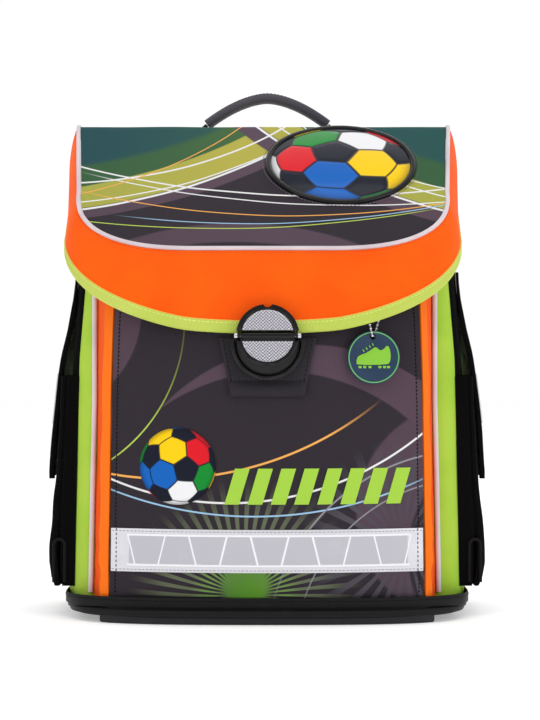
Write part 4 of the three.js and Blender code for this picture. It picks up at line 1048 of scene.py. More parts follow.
def body_loop(half, inset, height):
    """The body's outline at a height, which is a number or a function of y."""
    turn = np.linspace(math.pi / 2, 0, 18)
    corner_y = BODY_FRONT + CORNER_DEPTH
    xs = [
        np.linspace(0, half - CORNER_WIDTH, 14, endpoint=False),
        half - CORNER_WIDTH + (CORNER_WIDTH - inset) * corner_curve(np.cos(turn)),
    ]
    ys = [
        np.full(14, BODY_FRONT + inset),
        corner_y - (CORNER_DEPTH - inset) * corner_curve(np.sin(turn)),
    ]
    ys.append(np.linspace(corner_y, BODY_BACK - REAR_CORNER, 14)[1:-1])
    xs.append(np.full(12, half - inset))
    turn = np.linspace(0, math.pi / 2, 8)
    radius = REAR_CORNER - inset
    xs.append(half - REAR_CORNER + radius * np.cos(turn))
    ys.append(BODY_BACK - REAR_CORNER + radius * np.sin(turn))
    xs.append(np.linspace(half - REAR_CORNER, 0, 12)[1:])
    ys.append(np.full(11, BODY_BACK - inset))
    x, y = mirrored_loop(np.concatenate(xs), np.concatenate(ys))
    return coords(x, y, height(y) if callable(height) else float(height))


def make_body():
    rim = lambda y: lid_height(y) - RIM_DROP
    level_top = 260.0
    levels = np.linspace(BODY_FLOOR + 3, level_top, 44)

    def upper(inset):
        base = body_loop(float(body_half(level_top)), inset, level_top)
        end = body_loop(float(body_half(BODY_RIM)), inset, rim)
        return [base + (end - base) * share for share in np.linspace(0, 1, 12)[1:]]

    def wavy(ring, z):
        push = 0.5 * smooth_noise(ring[:, 1], ring[:, 2], 8, 80) * np.clip((z - 25) / 40, 0, 1)
        side = np.clip((np.abs(ring[:, 0]) - 138) / 8, 0, 1)
        ring[:, 0] += np.sign(ring[:, 0]) * push * side * 0.6
        return ring

    outer = [body_loop(float(body_half(BODY_FLOOR)), CLOTH + 0.5, BODY_FLOOR)]
    outer += [wavy(body_loop(float(body_half(z)), 0, z), z) for z in levels] + upper(0)
    inner = upper(CLOTH)[::-1] + [body_loop(float(body_half(z)), CLOTH, z) for z in levels[::-1]]
    piece = stack("body_shell", outer + inner, GREEN)
    stands_for(piece, "green_fabric", "main_body")


make_body()

# Front pocket

POCKET_TABLE = np.array([
    (0, 1.008, 0.62), (0.18, 1.006, 1), (0.42, 0.9985, 1), (0.62, 0.992, 0.86), (0.83, 0.978, 0.73),
    (1, 0.965, 0.73),
])


def pocket_share(z):
    return (np.asarray(z, dtype=float) - POCKET_BOTTOM) / (POCKET_TOP - POCKET_BOTTOM)


def pocket_half(z):
    return POCKET_HALF * table_at(POCKET_TABLE, pocket_share(z))


def pocket_face(x, z):
    share = pocket_share(z)
    tuck_share, lean_share = 0.155, 0.747
    bulge = POCKET_BULGE * table_at(POCKET_TABLE, share, 2)
    tuck = POCKET_TUCK * np.clip((tuck_share - share) / tuck_share, 0, 1) ** 2
    lean = POCKET_LEAN * np.clip((share - lean_share) / (1 - lean_share), 0, 1) ** 2
    return bulge * (np.asarray(x) / pocket_half(z)) ** 2 + tuck + lean


def on_pocket(x, z, proud):
    """Points on the pocket's face at x and z, proud of it."""
    return coords(x, pocket_face(x, z) - proud, z)


def face_grid(zs, shares, half_at, proud, lump=0.0):
    z = np.repeat(np.asarray(zs, dtype=float)[:, None], len(shares), 1)
    x = np.asarray(shares)[None, :] * half_at(z)
    y = pocket_face(x, z) - proud
    if lump:
        fade = np.clip(1 - np.abs(np.asarray(shares))[None, :] ** 6, 0, 1)
        y = y + lump * smooth_noise(x, z, 21, 110) * fade
    return coords(x, y, z)


def seam_half(z):
    """The half width that the piping follows: the body's own below, upright higher up."""
    return body_half(np.minimum(z, SEAM_UPRIGHT))


def make_pocket():
    zs = np.linspace(POCKET_BOTTOM, POCKET_TOP, 90)
    grid = face_grid(zs, np.linspace(-1, 1, 81), pocket_half, 0.0, 0.35)
    panel = cloth("pocket_front", grid, 2.0, POCKET_PRINT, uv=grid[..., [0, 2]])
    stands_for(panel, "printed_fabric", "pocket_panel")
    z, hem = np.linspace(24, 258, 60), 4.0
    edges = [(on_pocket(side * (pocket_half(z) - hem), z, 0.05), same_out(60)) for side in (-1, 1)]
    stitches("pocket_stitches", edges, THREAD_DARK, pitch=2.9, length=2.0, width=1.05)
    pipe_z = np.linspace(POCKET_TOP, 20.4, 60)
    for side, word in SIDES:
        x = side * (seam_half(pipe_z) - CORNER_WIDTH - 0.5) + SEAM_SHIFT
        path = coords(x, BODY_FRONT - GAP - 2, pipe_z)
        piece = sweep("pocket_pipe_" + word, path, same_out(60), round_section(4, 4, 14), PIPING)
        stands_for(piece, "grey_piping", "body_piping_" + word)


def gusset_section(x, z):
    """Back, fold and front points of the gusset on the right side at z, or on the floor at x."""
    face = max(z, POCKET_BOTTOM)
    half = float(pocket_half(face))
    seam = float(seam_half(face)) - CORNER_WIDTH - 2.7
    low = z > POCKET_BOTTOM
    if x is None:
        base = z if low else GUSSET_FLOOR
        front = z if low else GUSSET_LIP
        return np.array([
            (seam, BODY_FRONT - 0.5, base),
            (half + GUSSET_FOLD, float(pocket_face(half, face)) + 5, base),
            (half + GAP + 1.2, float(pocket_face(half, face)) + 0.4, front),
        ])
    y = float(pocket_face(x, face))
    back, fold = (x, BODY_FRONT - 0.5, GUSSET_FLOOR), (x, y + 6, GUSSET_FLOOR)
    return np.array([back, fold, (x, y + 0.2, GUSSET_LIP)])


def make_gusset():
    """The gussets as one strip: a crease along the middle and short cross folds low down."""
    floors = [gusset_section(x, POCKET_BOTTOM) for x in np.linspace(0, 108, 10)]
    sides = [gusset_section(None, z) for z in np.linspace(24, POCKET_TOP - 2, 70)]
    half = np.array(floors + [gusset_section(None, POCKET_BOTTOM)] + sides)
    full = both_sides(half)
    reach = float(pocket_half(POCKET_BOTTOM)) - 8
    full[..., 0] += np.array([1, 0.5, 0]) * SEAM_SHIFT * np.clip(np.abs(full[..., 0]) / reach, 0, 1)
    across = np.linspace(0, 1, 19)
    back, fold, front = full[:, 0], full[:, 1], full[:, 2]
    rows = []
    for share in across:
        if share < GUSSET_CREASE:
            rows.append(back + (fold - back) * share / GUSSET_CREASE)
        else:
            rows.append(fold + (front - fold) * (share - GUSSET_CREASE) / (1 - GUSSET_CREASE))
    grid = np.array(rows)
    facing = grid_facing(grid)
    z = grid[..., 2]
    share = across[:, None]
    crease = -1.1 * np.exp(-((share - GUSSET_CREASE / 2) / 0.05) ** 2)
    low_folds = 0.9 * np.sin(z / 3.4 + 9 * share) * np.exp(-((z - 42) / 26) ** 2) * np.sin(math.pi * share)
    loose = 0.8 * smooth_noise(z, share * 60, 31, 70) * np.sin(math.pi * share)
    side_only = np.clip((z - 20) / 10, 0, 1) * np.clip((POCKET_TOP - z) / 12, 0, 1)
    grid = grid + facing * ((crease + low_folds + loose) * side_only - 0.2)[..., None]
    piece = cloth("pocket_gusset_cloth", grid, 2.0, GUSSET_PAINTED_SHADE_AND_LIGHT, uv=coords(z, share * GUSSET_WIDTH))
    stands_for(piece, "orange_fabric", "pocket_gusset")


BAND = (39.5, 72.0)
BAND_PROUD = GAP + 1.0
CELLS = (-104.5, 106.5)


def make_band():
    zs = np.linspace(*BAND, 26)
    shares = np.linspace(-1, 1, 81)
    half_at = lambda z: np.full_like(z, POCKET_HALF)
    outer = face_grid(zs, shares, half_at, BAND_PROUD)
    outer[[0, -1], :, 1] += 0.5
    piece = slab("band_film", outer, face_grid(zs, shares, half_at, GAP), FILM, uv=outer[..., [0, 2]])
    stands_for(piece, "reflective", "reflective_band")
    low, high = BAND[0] + 5.4, BAND[1] - 4.6
    x, z = np.meshgrid(np.linspace(*CELLS, 61), np.linspace(low, high, 8))
    front = on_pocket(x, z, BAND_PROUD + 0.3)
    slab("band_cells", front, front + np.array([0, 0.28, 0]), CELL_FILM)
    strokes = [((CELLS[0] - 1.5, z), (CELLS[1] + 1.5, z)) for z in (low, high)]
    for i, x in enumerate(np.linspace(CELLS[0] + 2, CELLS[1], 10)):
        lean = 2.8 * (-1) ** i
        strokes.append(((x + lean, low), (x - lean, high)))
    lines = []
    for (x0, z0), (x1, z1) in strokes:
        count = 40 if z0 == z1 else 8
        path = on_pocket(np.linspace(x0, x1, count), np.linspace(z0, z1, count), BAND_PROUD + 0.3)
        lines.append(sweep("band_line", path, same_out(count), round_section(1.7, 0.25, 6), WHITE_PRINT))
    join("band_lines", lines)
    xs, hem = np.linspace(-117, 117, 90), 1.8
    seams = [(on_pocket(xs, z, BAND_PROUD), same_out(90)) for z in (BAND[0] + hem, BAND[1] - hem)]
    stitches("band_stitches", seams, THREAD_GREY, pitch=3.0, length=2.1, width=0.4)
    z = np.linspace(BAND[0] + 1, BAND[1] - 1, 12)
    ends = [(on_pocket(side * 114.4, z, BAND_PROUD), same_out(12)) for side in (-1, 1)]
    stitches("band_end_stitches", ends, THREAD_DARK, pitch=2.9, length=2.0, width=0.8)


def make_pocket_print():
    """A small printed ball and a row of slanted lime bars."""
    radius, centre = 29.0, (-67.5, 119.5)
    shares = np.linspace(0, 1, 15)[:0:-1]
    shares, lifts = np.concatenate([shares[:1], shares]), [0.1] + [0.35] * len(shares)
    across, up = np.cos(turns(72)), np.sin(turns(72))
    rings = []
    for share, lift in zip(shares, lifts):
        reach = radius * share
        rings.append(on_pocket(centre[0] + reach * across, centre[1] + reach * up, lift + GAP))
    ball = stack("printed_ball", rings, PRINT_BALL, attribute=ball_directions(shares, 72, 0.98))
    bars = []
    low, high, lean, width = 91.0, 118.0, 8.0, 11.0
    z = np.linspace(low, high, 8)
    for start in np.linspace(-32, 90, 8):
        left = start + lean * (z - low) / (high - low)
        outer = on_pocket(left[:, None] + width * np.linspace(0, 1, 4), z[:, None], 0.5)
        bars.append(slab("bar", outer, outer + np.array([0, 0.25, 0]), LIME_INK))
    join("printed_bars", bars)


make_pocket()
make_gusset()
make_band()
make_pocket_print()


# Lock patch

PATCH_HALF, PATCH_HEIGHT, PATCH_DEPTH = 37.7, 63.0, 4.0
PATCH_BOTTOM = LOCK[2] - PATCH_HEIGHT * 0.72
PATCH_TABLE = np.array([
    (0, 0.743, 0.75), (0.025, 0.748, 1.15), (0.06, 0.752, 1.38), (0.087, 0.757, 1.42), (0.12, 0.765, 1.34),
    (0.15, 0.775, 1.12), (0.175, 0.79, 0.86), (0.19, 0.795, 0.84), (0.206, 0.8, 0.98), (0.45, 0.883, 1),
    (0.65, 0.952, 1), (0.746, 1, 0.66), (0.89, 1, 0.66), (1, 1, 0.66),
])


def make_patch():
    share = np.linspace(0, 1, 70)
    across = np.linspace(-1, 1, 41)
    wide = table_at(PATCH_TABLE, share)[:, None] * PATCH_HALF
    depth = table_at(PATCH_TABLE, share, 2)[:, None] * PATCH_DEPTH
    z = np.repeat((PATCH_BOTTOM + share * PATCH_HEIGHT)[:, None], len(across), 1)
    x = across[None, :] * wide
    flat = (share < 0.7)[:, None]
    round_edge = 1.2 * np.clip((np.abs(across)[None, :] - 0.93) / 0.07, 0, 1) ** 2
    y = pocket_face(np.where(flat, 0, x), z) - depth + round_edge
    outer = coords(x + LOCK[0], y, z)
    piece = slab("lock_patch_cloth", outer, on_pocket(x + LOCK[0], z, GAP), PATCH_CLOTH)
    stands_for(piece, "black_fabric", "lock_patch")
    span = np.linspace(0.21, 0.66, 30)
    half = table_at(PATCH_TABLE, span) * PATCH_HALF - 2.6
    lines = [(side * half, span, PATCH_DEPTH) for side in (-1, 1)]
    lines.append((np.linspace(-27.5, 27.5, 30), np.full(30, 0.183), PATCH_DEPTH * 0.85))
    rows = []
    for x, share, depth in lines:
        z = PATCH_BOTTOM + share * PATCH_HEIGHT
        rows.append((coords(x + LOCK[0], pocket_face(0, z) - depth, z), same_out(30)))
    stitches("patch_stitches", rows, THREAD_DARK, pitch=2.8, length=2.0, width=0.6)


make_patch()


# Lock, drawn round its pin


def segment(radius, chord, sign, notch=0.0):
    """The part of a circle beyond a chord, up or down by sign, with a round notch in its crown."""
    count, bite = 40, 0.8
    start = math.asin(chord / radius)
    half = math.asin(notch / radius)
    first = np.linspace(start, math.pi / 2 - half, count)
    second = np.linspace(math.pi / 2 + half, math.pi - start, count)
    arc = lambda turn: coords(radius * np.cos(turn), sign * radius * np.sin(turn))
    if not notch:
        return np.concatenate([arc(first), arc(second)[1:]])
    turn = np.linspace(0, math.pi, 9)[1:-1]
    middle = coords(notch * np.cos(turn), sign * (radius - notch * bite * np.sin(turn)))
    return np.concatenate([arc(first), middle, arc(second)])


def rim_outline(outer, wall_radius, chord, sign):
    """A rim: the outer outline with a smaller segment taken out."""
    return np.concatenate([outer, segment(wall_radius, chord, sign)[::-1]])


def lock_solid(name, outline, from_y, to_y, soft, body="bag"):
    """An outline of (x, z) points round the pin, extruded along y."""
    rings = [at_depth(outline, y) + LOCK for y in (from_y, to_y)]
    return soften(stack(name, rings, BLACK_PLASTIC, body=body), soft)


def cylinder_x(name, radius, from_x, to_x, soft, body="bag", shader=BLACK_PLASTIC):
    turn = turns(40)
    rings = [coords(x, radius * np.cos(turn), radius * np.sin(turn)) + LOCK for x in (from_x, to_x)]
    return soften(stack(name, rings, shader, body=body), soft)


def prism_face(name, sign, body):
    """A moulded reflector: a half disc of small pyramids behind a clear edge."""
    radius, edge, front = 19.4, 4.2, -LOCK_HALF_DEPTH + 0.3
    pitch = 0.4
    xs = np.arange(-radius, radius + pitch / 2, pitch)
    zs = np.arange(edge, radius + pitch, pitch)
    x, z = np.meshgrid(xs, zs)
    limit = np.sqrt(np.maximum(radius**2 - z**2, 0.01))
    x = np.clip(x, -limit, limit)
    z = np.minimum(z, np.sqrt(np.maximum(radius**2 - x**2, edge**2)))
    cell = 2.4
    ridge = np.abs((x / cell) % 1 - 0.5) + np.abs((z / cell + 0.5 * (np.floor(x / cell) % 2)) % 1 - 0.5)
    inside = np.clip((radius - np.hypot(x, z)) / 1.0, 0, 1) * np.clip((z - edge) / 0.8, 0, 1)
    y = front + 0.55 * ridge * inside
    outer = coords(x, y, sign * z) + LOCK
    inner = outer.copy()
    inner[..., 1] = LOCK[1] + front + 1.15
    return slab(name, outer, inner, PRISM, body=body, sharp=20)


def make_lock():
    face = -LOCK_HALF_DEPTH
    floor = face + 1.75
    lower = segment(LOCK_RADIUS - 0.2, 3.4, -1, 3.0)
    neck = [(-20.3, -4.4), (20.3, -4.4), (20.3, -1), (-20.3, -1)]
    pieces = [
        lock_solid("lever_plate", lower, floor, LOCK_HALF_DEPTH, 0.7, "lever"),
        lock_solid("lever_rim", rim_outline(lower, 19.8, 3.85, -1), face, floor + 0.4, 0.45, "lever"),
        cylinder_x("lever_barrel", 3.3, -20.5, 20.5, 0.6, "lever"),
        lock_solid("lever_neck", neck, -2.4, 2.4, 0.3, "lever"),
    ]
    stands_for(join("lever_body", pieces), "black_plastic", "lock_lever")
    stands_for(prism_face("lever_reflector", -1, "lever"), "prism", "lock_reflector_lower")

    upper = segment(LOCK_RADIUS, 3.7, 1, 3.0)
    rim = lock_solid("flap_plate_rim", rim_outline(upper, 19.8, 3.85, 1), face, floor + 0.4, 0.45)
    lean = 4.3 + 0.25 * (upper[:, 1] - 3.7)
    rings = np.array([at_depth(upper, floor), at_depth(upper, lean)])
    pieces = [rim, soften(stack("flap_plate_housing", rings + LOCK, BLACK_PLASTIC), 0.6)]
    for side in (-1, 1):
        low, high = sorted((side * 20.8, side * 22.6))
        pieces.append(cylinder_x("lug", 3.1, low, high, 0.3))
        root = [(low, 0), (high, 0), (high, 5), (low, 5)]
        pieces.append(lock_solid("lug_root", root, -2.9, 2.9, 0.2))
    stands_for(join("flap_plate", pieces), "black_plastic", "lock_flap_plate")
    stands_for(prism_face("flap_reflector_face", 1, "bag"), "prism", "lock_reflector_upper")
    stands_for(cylinder_x("hinge_pin", 2.1, -25, 25, 0.5, shader=STEEL), "steel", "lock_pin")

    drop = np.array([0, 5.2])
    cup = segment(28.0, -2.5, -1)
    plate = lock_solid("cup_plate", cup - drop, 4.4, 8.6, 0.8)
    wall = rim_outline(cup, 24.8, -2.5, -1) - drop
    rim = lock_solid("cup_rim", wall, -1.0, 4.8, 0.8)
    stands_for(join("lock_cup", [plate, rim]), "black_plastic", "lock_base")


make_lock()


# Charm

CHARM_YAW = math.radians(6)
CHARM_AT = np.array([80.2, 0.7, 201.5])
CHARM_HOLE = (-0.7, 15.3)


def charm_place(points):
    """From the disc's own frame, x across, y back, z up, to the bag's."""
    points = np.asarray(points, dtype=float)
    c, s = math.cos(CHARM_YAW), math.sin(CHARM_YAW)
    x = points[..., 0] * c - points[..., 1] * s
    y = points[..., 0] * s + points[..., 1] * c
    return coords(x, y, points[..., 2]) + CHARM_AT


BOOT = [
    (-13.0, -5.2), (-13.2, -2.0), (-12.2, 0.6), (-9.6, 2.0), (-6.2, 3.2), (-2.6, 5.4), (0.6, 7.6), (2.4, 7.2),
    (4.0, 5.6), (6.0, 5.4), (7.8, 6.6), (9.4, 8.6), (11.0, 8.4), (12.2, 5.6), (12.8, 1.6), (12.4, -2.6),
    (11.0, -5.0), (4.0, -5.6), (-6.0, -5.8),
]


def circle(radius, centre=(0.0, 0.0)):
    turn = turns(72)
    return coords(centre[0] + radius * np.cos(turn), centre[1] + radius * np.sin(turn))


def charm_form(name, section, shader, looped=True):
    """A closed form from (y, outline) steps in the disc's frame."""
    return stack(name, [charm_place(at_depth(outline, y)) for y, outline in section], shader, looped)


def make_charm():
    """The disc with its hanging hole, its ring, and a studded sports shoe with laces in relief."""
    rim, face, hole, mouth = circle(20.0), circle(19.5), circle(2.0, CHARM_HOLE), circle(2.5, CHARM_HOLE)
    section = (
        (0.3, hole), (0.0, mouth), (0.0, face), (0.5, rim),
        (3.0, rim), (3.5, face), (3.5, mouth), (3.2, hole),
    )
    pieces = [charm_form("charm_disc_body", section, CHARM_BLUE)]
    outer, inner = circle(19.3), circle(19.3 - 0.9)
    section = ((-0.3, outer), (0.4, outer), (0.4, inner), (-0.3, inner))
    pieces.append(soften(charm_form("charm_ring", section, CHARM_RING), 0.25))
    relief = [("charm_boot", BOOT, 0.25)]
    for x in (-10.5, -7.0, -3.0, 4.5, 8.0, 11.0):
        stud = [(x - 1, -8.2), (x + 1, -8.2), (x + 1.3, -6.4), (x - 1.3, -6.4)]
        relief.append(("charm_stud", stud, 0.2))
    for x, z in ((-7.6, 4.4), (-5.2, 5.9), (-2.8, 7.5), (-0.6, 9.1)):
        lace = [(x - 0.2, z - 0.4), (x + 0.5, z - 0.2), (x - 0.4, z + 1.6), (x - 1.1, z + 1.4)]
        relief.append(("charm_lace", lace, 0.1))
    for name, shape, soft in relief:
        form = charm_form(name, ((-0.5, shape), (0.3, shape)), CHARM_GREEN, looped=False)
        pieces.append(soften(form, soft))
    stands_for(join("charm_face", pieces), "charm_vinyl", "charm_disc")


BEAD_RADIUS, BEAD_PITCH = 1.15, 3.1
CHAIN_ROUTE = [
    (79.5, 2.5, 217.4), (78.9, -1.2, 218.2), (77.8, -1.2, 222.6), (76.6, 0.6, 228.5), (75.2, 3.5, 236),
    (77.6, 6.5, 245.2), (80, 6.5, 246.3), (82.4, 6.5, 245.2), (84.8, 6.8, 236), (83, 6.9, 226),
    (80.9, 6.4, 219.5), (80.2, 5.6, 217.6),
]


def make_chain():
    route = np.array(CHAIN_ROUTE)
    dense = curve_through(np.vstack([route[-2:], route, route[:2]]), 900)
    start = int(np.argmin(np.linalg.norm(dense[:450] - route[0], axis=1)))
    end = 450 + int(np.argmin(np.linalg.norm(dense[450:] - route[0], axis=1)))
    loop = dense[start : end + 1]
    centres = resample(loop, round(path_length(loop) / BEAD_PITCH) + 1)[:-1]
    line = resample(loop, 121)[:-1]
    wire = sweep("chain_wire", line, line - [80, 3, 232], round_section(0.9, 0.9, 6), STEEL, looped=True)
    points, faces = [], []
    for centre in centres:
        base = len(points)
        for tilt in np.linspace(0.12, math.pi - 0.12, 9):
            wide = math.sin(tilt)
            for turn in turns(14):
                offset = (wide * math.cos(turn), wide * math.sin(turn), math.cos(tilt))
                points.append(centre + BEAD_RADIUS * np.array(offset))
        faces += shifted_faces(base, 9, 14)
    beads = make_object("chain_beads", points, faces, STEEL, sharp=80)
    stands_for(join("ball_chain", [wire, beads]), "steel", "charm_chain")


make_charm()
make_chain()


# Base

BASE_HALF, BASE_FRONT, BASE_MIDDLE, BASE_WALL = 157.5, -1.0, 80.0, 1.6
BASE_BACK = BODY_BACK + GAP + BASE_WALL
BASE_RADIUS = REAR_CORNER + GAP + BASE_WALL


def tray_loop(half, front, back, radius, z):
    turn = np.linspace(math.pi / 2, 0, 44)
    x = half * np.maximum(np.cos(turn), 0) ** (2 / 3)
    y = BASE_MIDDLE - (BASE_MIDDLE - front) * np.maximum(np.sin(turn), 0) ** (2 / 3)
    rear = np.linspace(0, math.pi / 2, 12)
    x = np.concatenate([x, half - radius + radius * np.cos(rear), np.linspace(half - radius, 0, 10)[1:]])
    y = np.concatenate([y, back - radius + radius * np.sin(rear), np.full(9, back)])
    x, y = mirrored_loop(x, y)
    return coords(x, y, float(z))


def band_loop(inset, z):
    front = BASE_FRONT + 7 + inset
    return tray_loop(BASE_HALF - inset, front, BASE_BACK - inset, BASE_RADIUS - inset, z)


def lip_loop(inset, z):
    half, back = BASE_HALF - 3.5 - inset, BASE_BACK + 1 - inset
    return tray_loop(half, BASE_FRONT + inset, back, BASE_RADIUS + 1 - inset, z)


def make_base():
    lip = (
        (5, 5.0), (3.6, 5.6), (3.2, 6.3), (0.5, 6.5), (0, 7.2), (0, 9.4), (0.4, 10.4), (1.4, 11.0),
        (4.0, 11.3),
    )
    band = (
        (0.2, 12.0), (0, 12.8), (0, 18.8), (0.3, 19.6), (0.8, 20.0), (1.3, 19.6), (1.6, 18.8),
        (1.6, 9.2), (4.6, 8.1),
    )
    rings = [lip_loop(*step) for step in lip] + [band_loop(*step) for step in band]
    pan = stack("base_pan", rings, BASE_PLASTIC)
    feet = []
    lip_curve = lambda x: (1 - np.abs(x / 158.0) ** 3) ** (1 / 3)
    front_foot = lambda x: BASE_MIDDLE - (BASE_MIDDLE - BASE_FRONT) * lip_curve(x) + 5
    rear_foot = lambda x: np.full_like(x, 150.0)
    for name, half, front, back in (
        ("front_foot", 127.5, front_foot, 37.0), ("rear_foot", 137.0, rear_foot, 178.0),
    ):
        rings = []
        for inset, z in ((1.6, 0.0), (0.5, 0.5), (0.0, 1.4), (0.0, 6.0)):
            edge = np.linspace(-1, 1, 41) * (half - inset)
            round_off = 3 * np.clip((np.abs(edge) - half + 4) / 4, 0, 1) ** 2
            near = coords(edge, front(edge) + inset + round_off, z)
            rings.append(np.concatenate([near, coords(edge[::-1], back - inset - round_off, z)]))
        feet.append(stack(name, rings, LIP_PLASTIC))
    piece = join("base_with_feet", [pan, *feet])
    stands_for(piece, "base_plastic", "base_tray")
    seam = band_loop(-0.05, 17.6)
    middle = len(seam) // 2
    outs = seam - np.array([0, BASE_MIDDLE, 17.6])
    outs[:, 2] = 0
    around = np.vstack([seam, seam[:1]])
    out = np.vstack([outs, outs[:1]])
    halves = [(around[:middle + 1], out[:middle + 1]), (around[middle:], out[middle:])]
    stitches("base_stitches", halves, THREAD_DARK, pitch=3.6, length=2.4, width=0.6)


make_base()


# Side pouches and flaps

POUCH_TABLE = np.array([
    (0, 0.64, 1), (0.037, 0.82, 1), (0.11, 0.95, 1), (0.19, 0.95, 0.8), (0.24, 0.92, 0.15),
    (0.35, 0.84, 0.08), (0.49, 0.70, 0.08), (0.773, 0.58, 0.08), (1, 0.52, 0.08),
])
POUCH = {
    "front": 58.0, "back": 172.0, "bottom": 24.0, "top": 187.0, "depth": 15.0, "pleat": 14.0, "cloth": 1.3,
}


def corner_inset(y):
    """How far the front corner draws the body's side in at y."""
    share = np.clip((BODY_FRONT + CORNER_DEPTH - np.asarray(y, dtype=float)) / CORNER_DEPTH, 0, 1)
    return CORNER_WIDTH * (1 - (1 - share**CORNER_POWER) ** (1 / CORNER_POWER))


def pouch_at(share):
    """The height and the depth of a pouch at a share of its height."""
    z = POUCH["bottom"] + share * (POUCH["top"] - POUCH["bottom"])
    return z, POUCH["depth"] * table_at(POUCH_TABLE, share)


def pouch_loop(share, inset):
    z, depth = pouch_at(share)
    pleat = POUCH["pleat"] * table_at(POUCH_TABLE, share, 2)
    start = float(body_half(z)) + GAP
    corner = min(4.0, depth * 0.25)
    widen = 0.6 if inset else 0.0
    mouth, tip = 0.13 * depth + widen, 0.075 * depth + widen
    follow = 0.96
    home_at = lambda y: inset - float(corner_inset(y)) * follow

    def end(edge, inwards):
        rim = edge + inwards * inset
        first = [(t, rim) for t in np.linspace(home_at(rim), depth / 2 - mouth, 5)]
        slope = [(mouth - (mouth - tip) * t, rim + inwards * pleat * t) for t in (0.33, 0.66, 1.0)]
        notch = [(depth / 2 - t, y) for t, y in slope] + [(depth / 2 + t, y) for t, y in slope[::-1]]
        notch.append((depth / 2 + mouth, rim))
        radius = corner - inset
        bend = [
            (depth - corner + radius * math.cos(a), edge + inwards * (corner - radius * math.sin(a)))
            for a in np.linspace(math.pi / 2, 0, 7)
        ]
        return first + notch + bend

    front = end(POUCH["front"], 1)
    back = end(POUCH["back"], -1)[::-1]
    ys = np.linspace(POUCH["front"] + corner, POUCH["back"] - corner, 16)[1:-1]
    middle = [(depth - inset + 0.5 * math.sin(math.pi * k / 15), y) for k, y in enumerate(ys, 1)]
    home = [(home_at(y), y) for y in np.linspace(POUCH["back"], POUCH["front"], 24)[1:-1]]
    return np.array([(start + out, y, z) for out, y in front + middle + back + home])


def make_pouch(side, word):
    shares = np.linspace(0, 1, 46)
    outer = [pouch_loop(share, 0.0) for share in shares]
    inner = [pouch_loop(share, POUCH["cloth"]) for share in shares[::-1] if share > 0.008]
    rings = np.array(outer + inner)
    wave = 0.4 * smooth_noise(rings[..., 1], rings[..., 2], 41 + side, 46)
    far_out = np.clip((rings[..., 0] - body_half(rings[..., 2]) - 4) / 5, 0, 1)
    rings[..., 0] += wave * far_out * np.clip((POUCH["top"] - rings[..., 2]) / 30, 0.15, 1)
    rings[..., 0] *= side
    piece = stack("pouch_" + word, rings, BLACK_CLOTH)
    stands_for(piece, "black_fabric", "side_pouch_" + word)
    ys = np.linspace(POUCH["front"] + 6, POUCH["back"] - 6, 40)
    lines = []
    for drop in (3.0, 9.5):
        z, depth = pouch_at(1 - drop / (POUCH["top"] - POUCH["bottom"]))
        x = float(body_half(z)) + GAP + depth + 0.55
        lines.append((coords(side * x, ys, z), same_out(40, (side, 0, 0))))
    stitches("pouch_stitches_" + word, lines, THREAD_DARK, pitch=3.2, length=2.3, width=0.6)
    # The pleat's folded edges as an arched tube, whose lighter grey is a painted highlight.
    start = float(body_half(50)) + GAP
    turn = np.linspace(0, math.pi, 12)
    arch = coords(4.3 * np.cos(turn), 4.3 * np.sin(turn))
    legs = np.linspace(27, 55, 8)
    line = [(start + 10.6, z) for z in legs] + [(start + 6.3 + a, 56 + b) for a, b in arch]
    line += [(start + 2.0, z) for z in legs[::-1]]
    path = np.array([(side * x, POUCH["front"] - 0.6, z) for x, z in line])
    fold = sweep("pleat_edge_" + word, path, same_out(len(path)), round_section(2.6, 2.2, 10), PLEAT_HIGHLIGHT_CLOTH)


FLAP_TABLE = np.array([
    (0, 0.012), (0.06, 0.025), (0.13, 0.055), (0.28, 0.24), (0.379, 0.43), (0.478, 0.56), (0.621, 0.70),
    (0.77, 0.84), (0.963, 0.96), (1, 0.95),
])
FLAP = {"front": 66.0, "back": 168.0, "top": 268.0, "bottom": 107.0, "reach": 16.3, "cloth": 2.2}
FLAP_WIDTH = FLAP["back"] - FLAP["front"]
STRIP = (150.0, 189.0)
BINDING_DEPTH = 3.6


def flap_point(v, z):
    drop = (FLAP["top"] - z) / (FLAP["top"] - FLAP["bottom"])
    bow = 1 - 0.12 * (2 * v - 1) ** 2
    out = FLAP["reach"] * table_at(FLAP_TABLE, drop) * bow
    return coords(body_half(z) + GAP + FLAP["cloth"] + out, FLAP["front"] + FLAP_WIDTH * v, z)


def flap_wave(side, v, z):
    """The loose rise and fall of a flap's cloth."""
    return 0.45 * smooth_noise(v * 100, z, 51 + side, 70)


def flap_hang(z):
    """From 0 at the flap's seam to 1 where it hangs free."""
    return np.clip((FLAP["top"] - z) / 50, 0, 1)


def flap_binding(side, column, wave):
    """The black bound edge of a flap, thick towards the body as far as there is room."""
    zs = np.linspace(FLAP["bottom"], FLAP["top"], 60)
    edge = flap_point(np.full(60, 0.0 if column == 0 else 1.0), zs)
    edge[:, 0] += wave[:, column]
    inwards = 1 if column == 0 else -1
    rings = []
    for (x, y, z), room in zip(edge, edge[:, 0] - body_half(zs) - GAP - 0.5):
        deep = min(BINDING_DEPTH, room)
        loop = [
            (0.35, 0.6), (0.1, -0.6), (-0.8, -1.3), (0.8 - deep, -1.3), (0.1 - deep, -0.6), (-deep, 0.6),
            (-deep, 6.4), (0.5 - deep, 7.0), (-0.2, 7.0), (0.35, 6.4),
        ]
        rings.append([(side * (x + dx), y + inwards * dy, z) for dx, dy in loop])
    return stack("flap_binding", rings, BLACK_CLOTH)


